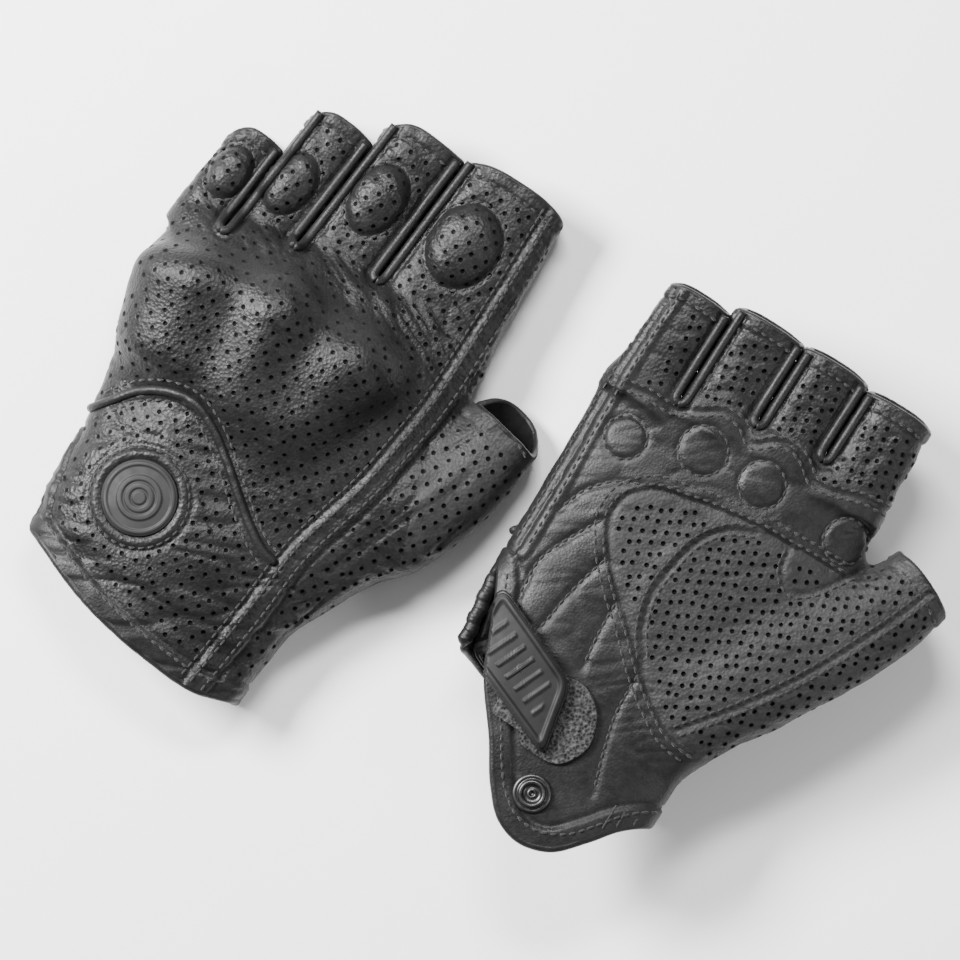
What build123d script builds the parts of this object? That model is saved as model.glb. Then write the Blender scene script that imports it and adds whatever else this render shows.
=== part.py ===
from build123d import *
from build123d.topology import SkipClean
import math
import os

# A pair of fingerless leather riding gloves lying side by side, in millimetres.
# The left glove lies palm down and the right glove lies palm up.
#
# Each glove is first built palm down in its own flat layout: +Y runs from the wrist to the
# fingers, +X towards the thumb and +Z out of the back of the hand. The widest line of the hand is
# at PARTING_Z, so the leather above it is the back and the leather below it is the palm.
# The right glove is the same layout mirrored in Z, which lays it palm up.

os.makedirs("parts", exist_ok=True)

LEATHER = 1.2
LINING = 0.8
PARTING_Z = 15.0
RUNNING_GAP = 0.4

GUARD_SHELL = 2.5
PIPING_WIDTH = 3.0
PIPING_HEIGHT = 1.3
BINDING_WIDTH = 6.0
BINDING_HEIGHT = 0.9
BADGE_RADIUS = 12.5
BADGE_HEIGHT = 2.0

PALM_PAD_RADIUS = 7.0
PALM_PAD_THICKNESS = 2.0
PALM_PAD_GAP = 0.1

LOOP_THICKNESS = 1.2
HOOK_GAP = 0.3
HOOK_THICKNESS = 1.0
STRAP_THICKNESS = 1.0
COVER_THICKNESS = 1.6
ROLL_RADIUS = 2.4

SNAP_FLANGE_RADIUS = 6.2
SNAP_FLANGE_HEIGHT = 1.0
SNAP_STUD_RADIUS = 2.55
SNAP_STUD_LENGTH = 2.0
SNAP_SOCKET_RADIUS = 2.6
SNAP_SOCKET_LENGTH = 2.4
SNAP_RIM_RADIUS = 4.4
SNAP_POST_RADIUS = 1.5
SNAP_CAP_THICKNESS = 0.8

RIGHT_SPACING = (137.7, 33.0)
RIGHT_TURN = 4.0

FAR = 200.0
TALL = 70.0

# Every digit: where the middle of its base lies, the way it points (degrees from +Y towards the
# thumb), half widths at base and tip, half height, length, height of its centreline, resting curl
# towards the palm, and its knuckle pad as (share of length, sideways offset, half width, half
# length, height above the finger).
LEFT_DIGITS = {
    "pinky": dict(base=(-57.0, 33.0), turn=2.0, wide=(8.5, 8.0), high=(8.6, 8.2), length=30.0,
                  centre=9.2, curl=0.0, pad=(0.48, -0.5, 6.4, 8.5, 2.6), outward=-20.0),
    "ring": dict(base=(-37.8, 39.5), turn=1.5, wide=(9.6, 9.2), high=(9.2, 8.8), length=42.0,
                 centre=9.8, curl=0.0, pad=(0.42, -0.5, 7.0, 10.5, 2.8)),
    "middle": dict(base=(-13.6, 45.5), turn=0.0, wide=(12.2, 11.6), high=(9.8, 9.2), length=48.0,
                   centre=10.4, curl=0.0, pad=(0.46, -0.8, 7.8, 11.5, 3.0)),
    "index": dict(base=(21.5, 49.0), turn=-0.5, wide=(20.0, 18.0), high=(10.2, 9.6), length=48.0,
                  centre=10.8, curl=0.0, pad=(0.48, -5.0, 11.0, 13.0, 3.2), outward=20.0),
    "thumb": dict(base=(59.0, 9.0), turn=8.0, wide=(13.2, 11.2), high=(11.0, 10.0), length=28.0,
                  centre=14.0, curl=0.0, pad=None),
}
RIGHT_DIGITS = {
    "pinky": dict(base=(-46.0, 43.5), turn=1.0, wide=(10.0, 9.4), high=(9.0, 8.6), length=30.0,
                  centre=10.0, curl=4.0, pad=(0.5, -0.5, 6.6, 8.5, 2.6), outward=-20.0),
    "ring": dict(base=(-22.2, 48.0), turn=0.5, wide=(11.2, 10.6), high=(9.4, 9.0), length=29.5,
                 centre=10.4, curl=4.0, pad=(0.48, -0.5, 7.4, 10.0, 2.8)),
    "middle": dict(base=(1.7, 50.0), turn=0.5, wide=(10.9, 10.3), high=(9.6, 9.2), length=28.0,
                   centre=10.6, curl=4.0, pad=(0.49, -0.5, 7.8, 10.0, 3.0)),
    "index": dict(base=(26.3, 49.0), turn=-0.5, wide=(11.8, 11.0), high=(9.8, 9.4), length=27.5,
                  centre=10.8, curl=4.0, pad=(0.5, -0.8, 8.6, 10.4, 3.0), outward=20.0),
    "thumb": dict(base=(52.0, 5.0), turn=22.0, wide=(14.5, 11.8), high=(11.5, 10.0), length=31.0,
                  centre=14.5, curl=0.0, pad=None),
}

LEFT = dict(
    name="left",
    # Cross-sections of the hand: y, low x, high x, bottom z, top z.
    sections=[(-94, -42, 42, 6.4, 33), (-62, -46, 43, 6.4, 34), (-42, -49.5, 48, 4.6, 35),
              (-24, -52, 61, 3.2, 36), (3, -62, 71, 1.8, 37), (24, -63, 52, 1.6, 34),
              (52, -65, 45, 1.2, 23)],
    # Knuckle domes: x, y, sphere radius, height of the top.
    knuckles=[(8, 20, 20, 44.5), (-20, 17, 18, 45.5), (-42, 11, 16, 42.0), (-54.5, 7, 12, 36.0)],
    back_hem=[(-60, -76), (-42, -81), (-15, -89.5), (12, -92.5), (30, -92), (60, -86)],
    arch=[(-60, -46), (-48, -37), (-37, -23), (-24, -18.5), (-8, -25), (8, -36), (30, -44.5)],
    side_seam=[(26, -110), (27, -60), (30, -28), (34.5, 8), (35.5, 40), (34, 70)],
    palm_hem=[(-60, -42), (-47, -50), (-36, -68), (-22, -84), (-6, -91), (14, -91), (45, -86)],
    finger_seam=[(-70, 20), (-50, 25), (-36, 33), (-24, 36), (-10, 38), (5, 41), (24, 40), (60, 42)],
    ball_seam=[(84, 25), (30, 22), (4, 20), (-20, 14), (-26, 4), (-18, -14), (4, -36), (22, -47),
               (84, -50)],
    palm_pads=[(-52, 14), (-31, 25), (-8, 29), (22, 30)],
    badge=(-20, -53),
    strap_root=(-48.6, 13.0, -70.0, -47.0),
    strap_end=(-9.0, -66.0),
    snap=(0.0, -84.0),
    digits=LEFT_DIGITS,
    socket=False,
)
RIGHT = dict(
    name="right",
    sections=[(-104, -38, 34, 3.0, 44), (-62, -53, 29, 2.6, 45), (-46, -55, 31, 2.3, 44.5),
              (-28, -56, 46, 2.0, 44), (2, -57, 65, 1.6, 43), (22, -57.5, 48, 1.4, 38),
              (54, -58, 40, 1.0, 25)],
    knuckles=[(12, 22, 20, 46.0), (-11, 20, 18, 46.5), (-32, 15, 16, 46.0), (-46.5, 9, 12, 41.0)],
    back_hem=[(-75, -60), (-52, -61), (-25, -70), (0, -76), (24, -77), (50, -76)],
    arch=[(-75, -20), (-54, -17), (-42, -4), (-28, 1), (-12, -5), (6, -17), (40, -26)],
    side_seam=[(18, -120), (18, -50), (19, -20), (21, 2), (25, 22), (28.5, 45), (29, 70)],
    palm_hem=[(-75, -29), (-54, -34), (-40, -62), (-25, -89), (-7, -102), (12, -94), (30, -68)],
    finger_seam=[(-70, 36), (-50, 37), (-35, 38), (-20, 44.5), (-9, 43), (1, 46.5), (14, 43), (32, 45),
                 (60, 46)],
    ball_seam=[(84, 27), (36, 23), (10, 20), (-16, 17), (-33, 8), (-31, -7), (-14, -25), (6, -42),
               (24, -50), (84, -54)],
    palm_pads=[(-43, 23), (-20, 32), (1.5, 33), (31, 32)],
    badge=(-24, -38),
    strap_root=(-56.0, 12.5, -60.0, -36.0),
    strap_end=(-13.0, -64.0),
    snap=(-8.0, -88.0),
    digits=RIGHT_DIGITS,
    socket=True,
)


def section_face(y, low_x, high_x, bottom, top, grow):
    """A closed cross-section of the hand: half an ellipse above the parting line and half below."""
    half_width = (high_x - low_x) / 2 + grow
    upper = EllipticalCenterArc((0, 0), half_width, top - PARTING_Z + grow, 0, arc_size=180)
    lower = EllipticalCenterArc((0, 0), half_width, PARTING_Z - bottom + grow, 180, arc_size=180)
    plane = Plane(origin=((low_x + high_x) / 2, y, PARTING_Z), x_dir=(1, 0, 0), z_dir=(0, -1, 0))
    return plane * make_face([upper, lower])


def hand_form(glove, grow):
    """The hand's outer form, grown by a distance, with straight rulings between the sections.
    The inner forms run past both ends."""
    beyond = 1.0 if grow < 0 else 0.0
    rows = [list(row) for row in glove["sections"]]
    rows[0][0] -= beyond
    rows[-1][0] += beyond
    return loft([section_face(*row, grow) for row in rows], ruled=True)


def knuckle_domes(glove, grow):
    """The four knuckle domes as spheres whose tops stand at the stated heights."""
    domes = [Pos(x, y, top - radius) * Sphere(radius + grow) for x, y, radius, top in glove["knuckles"]]
    return domes[0].fuse(*domes[1:])


def prism(plan, low=PARTING_Z, high=TALL):
    """A plan outline as a block between two heights."""
    block = Part()
    for face in plan.faces():
        block = block + Pos(0, 0, low) * extrude(face, amount=high - low, dir=(0, 0, 1))
    return block


def joined(shape):
    """A cut's result as one shape, however many pieces the cut left."""
    return Compound(children=list(shape)) if isinstance(shape, list) else shape


def back_of(plan, *forms):
    """What of the first form, less the others, lies under a plan outline on the back of the hand."""
    shape = joined(prism(plan) & forms[0])
    for form in forms[1:]:
        shape = joined(shape - form)
    return shape


def palm_of(plan, *forms):
    """The same on the palm side."""
    shape = joined(prism(plan, -TALL / 2, PARTING_Z) & forms[0])
    for form in forms[1:]:
        shape = joined(shape - form)
    return shape


def beyond_curve(points, *corners):
    """The plan region between a smooth curve and the far corners that close it."""
    curve = Spline(*points)
    rest = Polyline(points[-1], *corners, points[0])
    return make_face([curve, rest])


def solids_of(shape, least=0.5):
    """A shape as one compound of its solids, without the slivers of a cut."""
    kept = [solid for solid in shape.solids() if solid.volume > least]
    return kept[0] if len(kept) == 1 else Compound(children=kept)


def digit_plane(digit):
    """The plane of a digit's open base, looking along the digit."""
    turn = math.radians(digit["turn"])
    along = Vector(math.sin(turn), math.cos(turn), 0)
    across = Vector(math.cos(turn), -math.sin(turn), 0)
    return Plane(origin=(*digit["base"], digit["centre"]), x_dir=across, z_dir=along)


def digit_strip(digit):
    """The plan strip that a digit sweeps as it bends, which the hand leaves free. An outermost
    finger's strip runs on past the hand's edge."""
    half_width = digit["wide"][0] + 2 * RUNNING_GAP
    outward = digit.get("outward", 0.0)
    strip = Pos(outward / 2, FAR / 2 - RUNNING_GAP) * Rectangle(2 * half_width + abs(outward), FAR)
    return Pos(*digit["base"]) * Rot(0, 0, -digit["turn"]) * strip


def digit_hinge(digit):
    """The line that a digit bends about: across its base, on the palm side."""
    plane = digit_plane(digit)
    point = Vector(*digit["base"], digit["centre"] - digit["high"][0])
    return point, plane.x_dir * -1


def curled(digit, shape):
    """A digit's piece turned to the digit's resting curl."""
    point, axis = digit_hinge(digit)
    return shape.rotate(Axis(point, axis), digit["curl"])


def digit_tube(digit, grow, overrun=0.0):
    """The straight tapered tube of a digit, grown by a distance."""
    plane = digit_plane(digit)
    base = Ellipse(digit["wide"][0] + grow, digit["high"][0] + grow)
    tip = Ellipse(digit["wide"][1] + grow, digit["high"][1] + grow)
    start = plane.offset(-overrun) * base
    end = plane.offset(digit["length"] + overrun) * tip
    return loft([start, end])


def digit_pieces(name, digit):
    """A finger's stall and knuckle pad, or the thumb's stall and its side panel."""
    outer = digit_tube(digit, 0)
    sleeve = outer - digit_tube(digit, -LEATHER, 1.0)
    plane = digit_plane(digit)
    if digit["pad"] is None:
        outside = plane * Pos(FAR / 2 + 0.42 * digit["wide"][1], 0, 0) * Box(FAR, FAR, FAR)
        side = sleeve & outside
        stall = sleeve - outside
        return {f"{name}_stall": curled(digit, stall), f"{name}_side_panel": curled(digit, side)}
    share, sideways, half_width, half_length, height = digit["pad"]
    sweep = (half_length**2 + height**2) / (2 * height)
    half_span = math.sqrt(2 * sweep * half_width - half_width**2)
    outline = ThreePointArc((0, -half_span), (half_width, 0), (0, half_span))
    lens = revolve(make_face([outline, Line((0, half_span), (0, -half_span))]), Axis.Y)
    drop = digit["high"][0] + height - half_width
    lens = plane * Pos(sideways, -drop, share * digit["length"]) * Rot(90, 0, 0) * lens
    between_ends = plane * Pos(0, 0, digit["length"] / 2) * Box(FAR, FAR, digit["length"] - 2)
    pad = (lens & between_ends) - outer
    return {f"{name}_stall": curled(digit, sleeve), f"{name}_pad": curled(digit, solids_of(pad))}


def strap_plan(glove):
    """The closure strap's plan, with round corners at its free end, and the loop patch's."""
    axis_x, _, low_y, high_y = glove["strap_root"]
    end_x, end_y = glove["strap_end"]
    width = (high_y - low_y) * 0.92
    root_x = axis_x + ROLL_RADIUS + 2 * HOOK_GAP
    corners = [(root_x, low_y), (root_x, low_y + width), (end_x - 7, end_y + width / 2),
               (end_x + 1, end_y - width / 2)]
    strap = make_face(Polyline(*corners, close=True))
    strap = fillet(strap.vertices().sort_by(Axis.X)[-2:], 3.0)
    loop_centre = (end_x + 3.5, end_y + 0.5)
    loop = Pos(*loop_centre) * Rot(0, 0, -14) * SlotOverall(width * 1.02, 17, rotation=80)
    under = strap & Pos(end_x - 8, end_y) * Rectangle(26, FAR)
    return strap, loop + under, under


def strap_pieces(glove, form):
    """The leather roll that the strap turns on, the strap's layers and the loop patch under it."""
    axis_x, axis_z, low_y, high_y = glove["strap_root"]
    strap, loop, hook = strap_plan(glove)
    at = LOOP_THICKNESS
    levels = [at]
    for thickness in (HOOK_GAP, HOOK_THICKNESS, STRAP_THICKNESS, COVER_THICKNESS):
        at += thickness
        levels.append(at)
    roll = Pos(axis_x, (low_y + high_y) / 2, axis_z) * Rot(90, 0, 0) * Cylinder(ROLL_RADIUS, high_y - low_y)
    return {
        "strap_roll": solids_of(roll - form(0)),
        "loop_patch": solids_of(palm_of(loop, form(levels[0]), form(0))),
        "hook_patch": solids_of(palm_of(hook, form(levels[2]), form(levels[1]))),
        "strap": solids_of(palm_of(strap, form(levels[3]), form(levels[2]))),
        "strap_cover": solids_of(palm_of(offset(strap, -1.2), form(levels[4]), form(levels[3]))),
    }


def snap_outer_z(glove):
    """The height of the leather's palm face at the snap fastener."""
    x, y = glove["snap"]
    rows = glove["sections"]
    first, second = rows[0], rows[1]
    share = (y - first[0]) / (second[0] - first[0])
    low_x, high_x, bottom = (first[k] + share * (second[k] - first[k]) for k in (1, 2, 3))
    reach = (x - (low_x + high_x) / 2) / ((high_x - low_x) / 2)
    return PARTING_Z - (PARTING_Z - bottom) * math.sqrt(1 - reach**2)


def snap_pieces(glove, form):
    """The press fastener through the palm's lap: a cap inside and a stud or a socket outside."""
    x, y = glove["snap"]
    face = snap_outer_z(glove)
    cap_top = face + LEATHER + LINING + SNAP_CAP_THICKNESS + 0.6
    cap = Pos(x, y, cap_top - SNAP_CAP_THICKNESS / 2) * Cylinder(SNAP_FLANGE_RADIUS, SNAP_CAP_THICKNESS)
    cap = cap - palm_of(Pos(x, y) * Circle(FAR / 4), form(0), form(-LEATHER - LINING))
    post_low = face - SNAP_FLANGE_HEIGHT
    post = Pos(x, y, (cap_top + post_low) / 2) * Cylinder(SNAP_POST_RADIUS, cap_top - post_low)
    drum = prism(Pos(x, y) * Circle(SNAP_FLANGE_RADIUS), face - SNAP_FLANGE_HEIGHT, PARTING_Z)
    drum = drum - form(0)
    if glove["socket"]:
        rim = prism(Pos(x, y) * (Circle(SNAP_RIM_RADIUS) - Circle(SNAP_SOCKET_RADIUS)),
                    post_low - SNAP_SOCKET_LENGTH, post_low)
        fastener = {"snap_socket": drum + rim - post}
    else:
        stud = prism(Pos(x, y) * Circle(SNAP_STUD_RADIUS), post_low - SNAP_STUD_LENGTH, post_low)
        fastener = {"snap_stud": drum + stud - post}
    return {"snap_cap": solids_of(cap + post), **{k: solids_of(v) for k, v in fastener.items()}}


def hand_pieces(glove):
    """Everything that stays with the hand of the glove, and the strap."""
    cache = {}

    def form(grow):
        if grow not in cache:
            cache[grow] = hand_form(glove, grow)
        return cache[grow]

    digits = glove["digits"]
    everywhere = Rectangle(2 * FAR, 2 * FAR)
    for digit in digits.values():
        everywhere = everywhere - digit_strip(digit)

    below_back_hem = beyond_curve(glove["back_hem"], (FAR, -FAR), (-FAR, -FAR))
    below_palm_hem = beyond_curve(glove["palm_hem"], (FAR, -FAR), (-FAR, -FAR))
    side = beyond_curve(glove["side_seam"], (FAR, 90), (FAR, -FAR))
    cuff = beyond_curve(glove["arch"], (FAR, -60), (FAR, -FAR), (-FAR, -FAR))
    fingers = beyond_curve(glove["finger_seam"], (FAR, FAR), (-FAR, FAR))
    ball = beyond_curve(glove["ball_seam"])

    back = everywhere - below_back_hem
    palm = everywhere - below_palm_hem
    dome_outer = knuckle_domes(glove, 0)
    dome_under = knuckle_domes(glove, -LEATHER)
    dome_shell = knuckle_domes(glove, -LEATHER - GUARD_SHELL)
    skin = form(0) + dome_outer
    under = form(-LEATHER) + dome_under
    cap = [skin, under]

    pads_plan = Sketch() + [Pos(*spot) * Circle(PALM_PAD_RADIUS) for spot in glove["palm_pads"]]
    pads_plan = pads_plan & everywhere
    snap_hole = Pos(*glove["snap"]) * Circle(SNAP_POST_RADIUS)
    badge_plan = Pos(*glove["badge"]) * Circle(BADGE_RADIUS)
    half_piping = Pos(0, PIPING_WIDTH / 2)
    piping_plan = half_piping * cuff - half_piping.inverse() * cuff - side
    back_band = back & (Pos(0, BINDING_WIDTH) * below_back_hem)
    palm_band = palm & (Pos(0, BINDING_WIDTH) * below_palm_hem)
    lining_plan = everywhere - below_palm_hem - snap_hole

    lining_tube = form(-LEATHER) - form(-LEATHER - LINING)
    lining = joined(lining_tube & prism(back))
    lining = lining + joined(lining_tube & prism(lining_plan - pads_plan, -TALL / 2, PARTING_Z))
    binding = back_of(back_band, form(BINDING_HEIGHT), form(0))
    binding_palm = palm_of(palm_band, form(BINDING_HEIGHT), form(0))
    strap_set = strap_pieces(glove, form)
    binding = binding - strap_set["strap_roll"]
    binding_palm = binding_palm - strap_set["strap_roll"]
    for name in ("loop_patch",):
        binding_palm = binding_palm - strap_set[name]
    snap_set = snap_pieces(glove, form)
    for piece in snap_set.values():
        binding_palm = binding_palm - piece

    pieces = {
        "back_panel": back_of(back - cuff - side, *cap),
        "cuff_panel": back_of((back & cuff) - side, *cap),
        "side_strip": back_of(back & side, *cap),
        "palm_panel": palm_of(palm - fingers - ball - snap_hole, form(0), form(-LEATHER)),
        "thumb_ball_panel": palm_of((palm & ball) - fingers, form(0), form(-LEATHER)),
        "finger_base_panel": palm_of(palm & fingers, form(0), form(-LEATHER)),
        "lining": lining,
        "knuckle_guard": back_of(back, dome_under, dome_shell, form(-LEATHER)),
        "knuckle_foam": back_of(back, dome_shell, form(-LEATHER)),
        "palm_pads": palm_of(pads_plan, form(-LEATHER - PALM_PAD_GAP), form(-LEATHER - PALM_PAD_THICKNESS)),
        "cuff_piping": back_of(piping_plan, form(PIPING_HEIGHT), skin),
        "badge": back_of(badge_plan, form(BADGE_HEIGHT), form(0)),
        "wrist_binding": binding + binding_palm,
    }
    pieces = {name: solids_of(shape) for name, shape in pieces.items()}
    pieces.update(strap_set)
    pieces.update(snap_set)
    for name, digit in digits.items():
        pieces.update(digit_pieces(name, digit))
    return pieces


def place(glove, shape):
    """Turns the right glove's piece palm up and puts it beside the left glove."""
    if glove["name"] == "right":
        shape = mirror(shape, about=Plane.XY)
        shape = Pos(*RIGHT_SPACING, 0) * Rot(0, 0, RIGHT_TURN) * shape
    return shape


def build():
    """All pieces of both gloves, lying on Z = 0 with the pair's box centred on the origin."""
    parts = {}
    lifts = []
    low = [FAR, FAR]
    high = [-FAR, -FAR]
    for glove in (LEFT, RIGHT):
        with SkipClean():
            pieces = {name: place(glove, shape) for name, shape in hand_pieces(glove).items()}
        boxes = [shape.bounding_box() for shape in pieces.values()]
        lift = -min(box.min.Z for box in boxes)
        low = [min([low[0]] + [box.min.X for box in boxes]), min([low[1]] + [box.min.Y for box in boxes])]
        high = [max([high[0]] + [box.max.X for box in boxes]), max([high[1]] + [box.max.Y for box in boxes])]
        lifts.append(lift)
        for name, shape in pieces.items():
            parts[f"{glove['name']}_{name}"] = Pos(0, 0, lift) * shape
    shift = (-(low[0] + high[0]) / 2, -(low[1] + high[1]) / 2)
    return {name: Pos(*shift, 0) * shape for name, shape in parts.items()}, shift, lifts


if __name__ == "__main__":
    gloves, moved, lifted = build()
    for node, part in gloves.items():
        export_step(part, f"parts/{node}.step")
    print("plan shift", [round(value, 4) for value in moved], "lifts", [round(value, 4) for value in lifted])
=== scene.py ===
import math

import bpy
import numpy as np
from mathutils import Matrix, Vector
from mathutils.bvhtree import BVHTree
from mathutils.kdtree import KDTree


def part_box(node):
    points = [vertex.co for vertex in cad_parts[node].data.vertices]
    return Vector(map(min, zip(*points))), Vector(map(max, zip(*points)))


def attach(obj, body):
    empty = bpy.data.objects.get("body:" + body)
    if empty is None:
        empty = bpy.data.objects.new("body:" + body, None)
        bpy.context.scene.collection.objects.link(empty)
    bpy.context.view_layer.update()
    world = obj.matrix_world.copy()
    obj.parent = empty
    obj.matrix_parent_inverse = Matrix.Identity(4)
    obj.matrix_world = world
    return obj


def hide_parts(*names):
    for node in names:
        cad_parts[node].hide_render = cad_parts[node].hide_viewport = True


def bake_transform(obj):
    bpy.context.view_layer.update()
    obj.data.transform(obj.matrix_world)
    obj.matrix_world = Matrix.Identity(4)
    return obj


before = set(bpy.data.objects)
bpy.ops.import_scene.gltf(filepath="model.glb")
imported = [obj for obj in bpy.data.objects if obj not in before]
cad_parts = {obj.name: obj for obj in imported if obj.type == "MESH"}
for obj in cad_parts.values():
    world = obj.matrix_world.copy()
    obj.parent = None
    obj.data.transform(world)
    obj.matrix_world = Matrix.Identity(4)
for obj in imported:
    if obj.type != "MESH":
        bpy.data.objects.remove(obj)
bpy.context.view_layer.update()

GRID = 0.85
PARTING = 15.0          # height of the seam line between the back and the palm
THUMB = 4               # the thumb's place among the digits
WRIST_Y = -25.0         # an open rim below this is the wrist's, and above it a digit's
BEND_REACH = 18.0       # length of the curved stretch at the root of a bent digit
SLIT_HALF = 0.95        # half the width of the slits between the fingers
HOLE_RADIUS = 0.95      # of a perforation

# ---------------------------------------------------------------------------------------------
# The gloves' shapes, in millimetres, each in its own layout: +Y to the fingers, +X to the thumb,
# +Z out of the back of the hand. The right glove is the layout turned palm up.
# ---------------------------------------------------------------------------------------------

LEFT = dict(
    name="left",
    # The hand: y, low x, high x, bottom z, top z.
    rows=[(-99, -40.5, 42.5, 6.0, 29), (-84, -43, 42.5, 6.2, 31), (-62, -46.5, 43, 6.2, 33.5),
          (-46, -48.5, 46, 5.0, 34), (-38, -50, 49, 4.2, 34), (-20, -54.5, 52, 3.0, 34),
          (5, -64, 50, 1.8, 34), (26, -63.5, 47.5, 1.5, 31), (42, -64.5, 44.5, 1.4, 26),
          (58, -64, 43, 1.4, 20)],
    # The thumb: y, low x, high x, bottom z, top z, on a rising middle line.
    thumb_rows=[(-62, 26, 40, 8, 22), (-50, 22, 47, 5, 25), (-34, 22, 55, 3, 27), (-20, 26, 65, 2, 28),
                (-4, 34, 70.5, 2, 28), (12, 42, 73.5, 2.5, 27), (28, 48.5, 74, 3.2, 26),
                (40, 50.5, 73, 3.8, 25)],
    hand_end=[(-70, 30), (-57, 33), (-38, 39), (-14, 45), (22, 48), (44, 49), (80, 47)],
    # Knuckle armour lobes: front x, y, radius, top, rear x, y, radius, top.
    lobes=[(10, 19, 16.5, 44.0, 5, -5, 15, 40.0), (-18.5, 19, 16, 45.5, -14, -6, 15, 41.0),
           (-42, 13, 13.5, 42.0, -36, -7, 13, 38.5), (-55.5, 8, 10, 35.5, -49, -8, 10, 33.0)],
    digits={
        "pinky": dict(base=(-57.2, 33.0), turn=1.2, wide=(9.6, 9.0), high=(9.0, 8.2), length=30.0,
                      centre=10.0, bend=0.0, pad=(-1.4, 14.5, 6.6, 9.0, 3.0), crown=(6.0, 1.0)),
        "ring": dict(base=(-38.3, 39.5), turn=1.5, wide=(11.8, 11.4), high=(9.8, 9.0), length=42.5,
                     centre=10.6, bend=0.0, pad=(-2.4, 16.5, 7.6, 10.8, 3.4), crown=(6.5, 1.5)),
        "middle": dict(base=(-13.9, 45.5), turn=1.2, wide=(14.6, 14.0), high=(10.2, 9.4),
                       length=48.5, centre=11.0, bend=0.0, pad=(-1.4, 22.5, 8.6, 12.2, 4.0),
                       crown=(8.0, 0.5)),
        "index": dict(base=(21.4, 49.0), turn=-3.0, wide=(22.2, 18.5), high=(10.6, 9.8),
                      length=49.5, centre=11.4, bend=0.0, pad=(-4.2, 23.5, 11.2, 13.8, 4.6),
                      crown=(4.0, 3.0)),
        "thumb": dict(base=(59.0, 9.0), turn=8.0, wide=(14.0, 11.6), high=(12.0, 10.0),
                      length=27.5, centre=14.0, bend=0.0, pad=None, crown=(2.0, 3.0), slant=3.5),
    },
    slits=[((-49.2, 32.5), (-47.4, 90)), ((-27.6, 42.0), (-25.9, 100)), ((-0.3, 48.5), (0.6, 110))],
    back_hem=[(-90, -70), (-60, -77), (-42, -81.5), (-15, -89.5), (12, -92.5), (30, -92),
              (42, -88), (90, -80)],
    palm_hem=[(-90, -38), (-60, -42), (-47, -50), (-36, -68), (-22, -84), (-6, -90.5), (14, -91.5),
              (45, -88), (90, -84)],
    web_x=46.5,
    thumb_fold=((45, 12), (0.92, 0.38), 28.0),
    arch=[(-50, -40), (-46, -34), (-40, -25.5), (-32, -20), (-24, -18.3), (-15, -21), (-5, -27),
          (5, -34), (14, -40), (21, -43.5), (26.2, -44.5)],
    side_seam=[(24.5, -100), (26, -80), (27, -60), (28, -35), (31, -20), (33.4, -8), (35, 10),
               (35.8, 25), (34.6, 50), (33, 75), (31, 100)],
    badge=(-20.0, -53.0),
    strap=dict(axis=(-48.6, -58.5, 13.0), width=23.0, end=(-9.0, -68.0)),
    snap=(0.0, -84.0),
    palm_map=((-60, -43, -20, 1.5, 34, 52, 80), (-66, -52, -31, -8, 24, 59, 86), -6.0),
)

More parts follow.
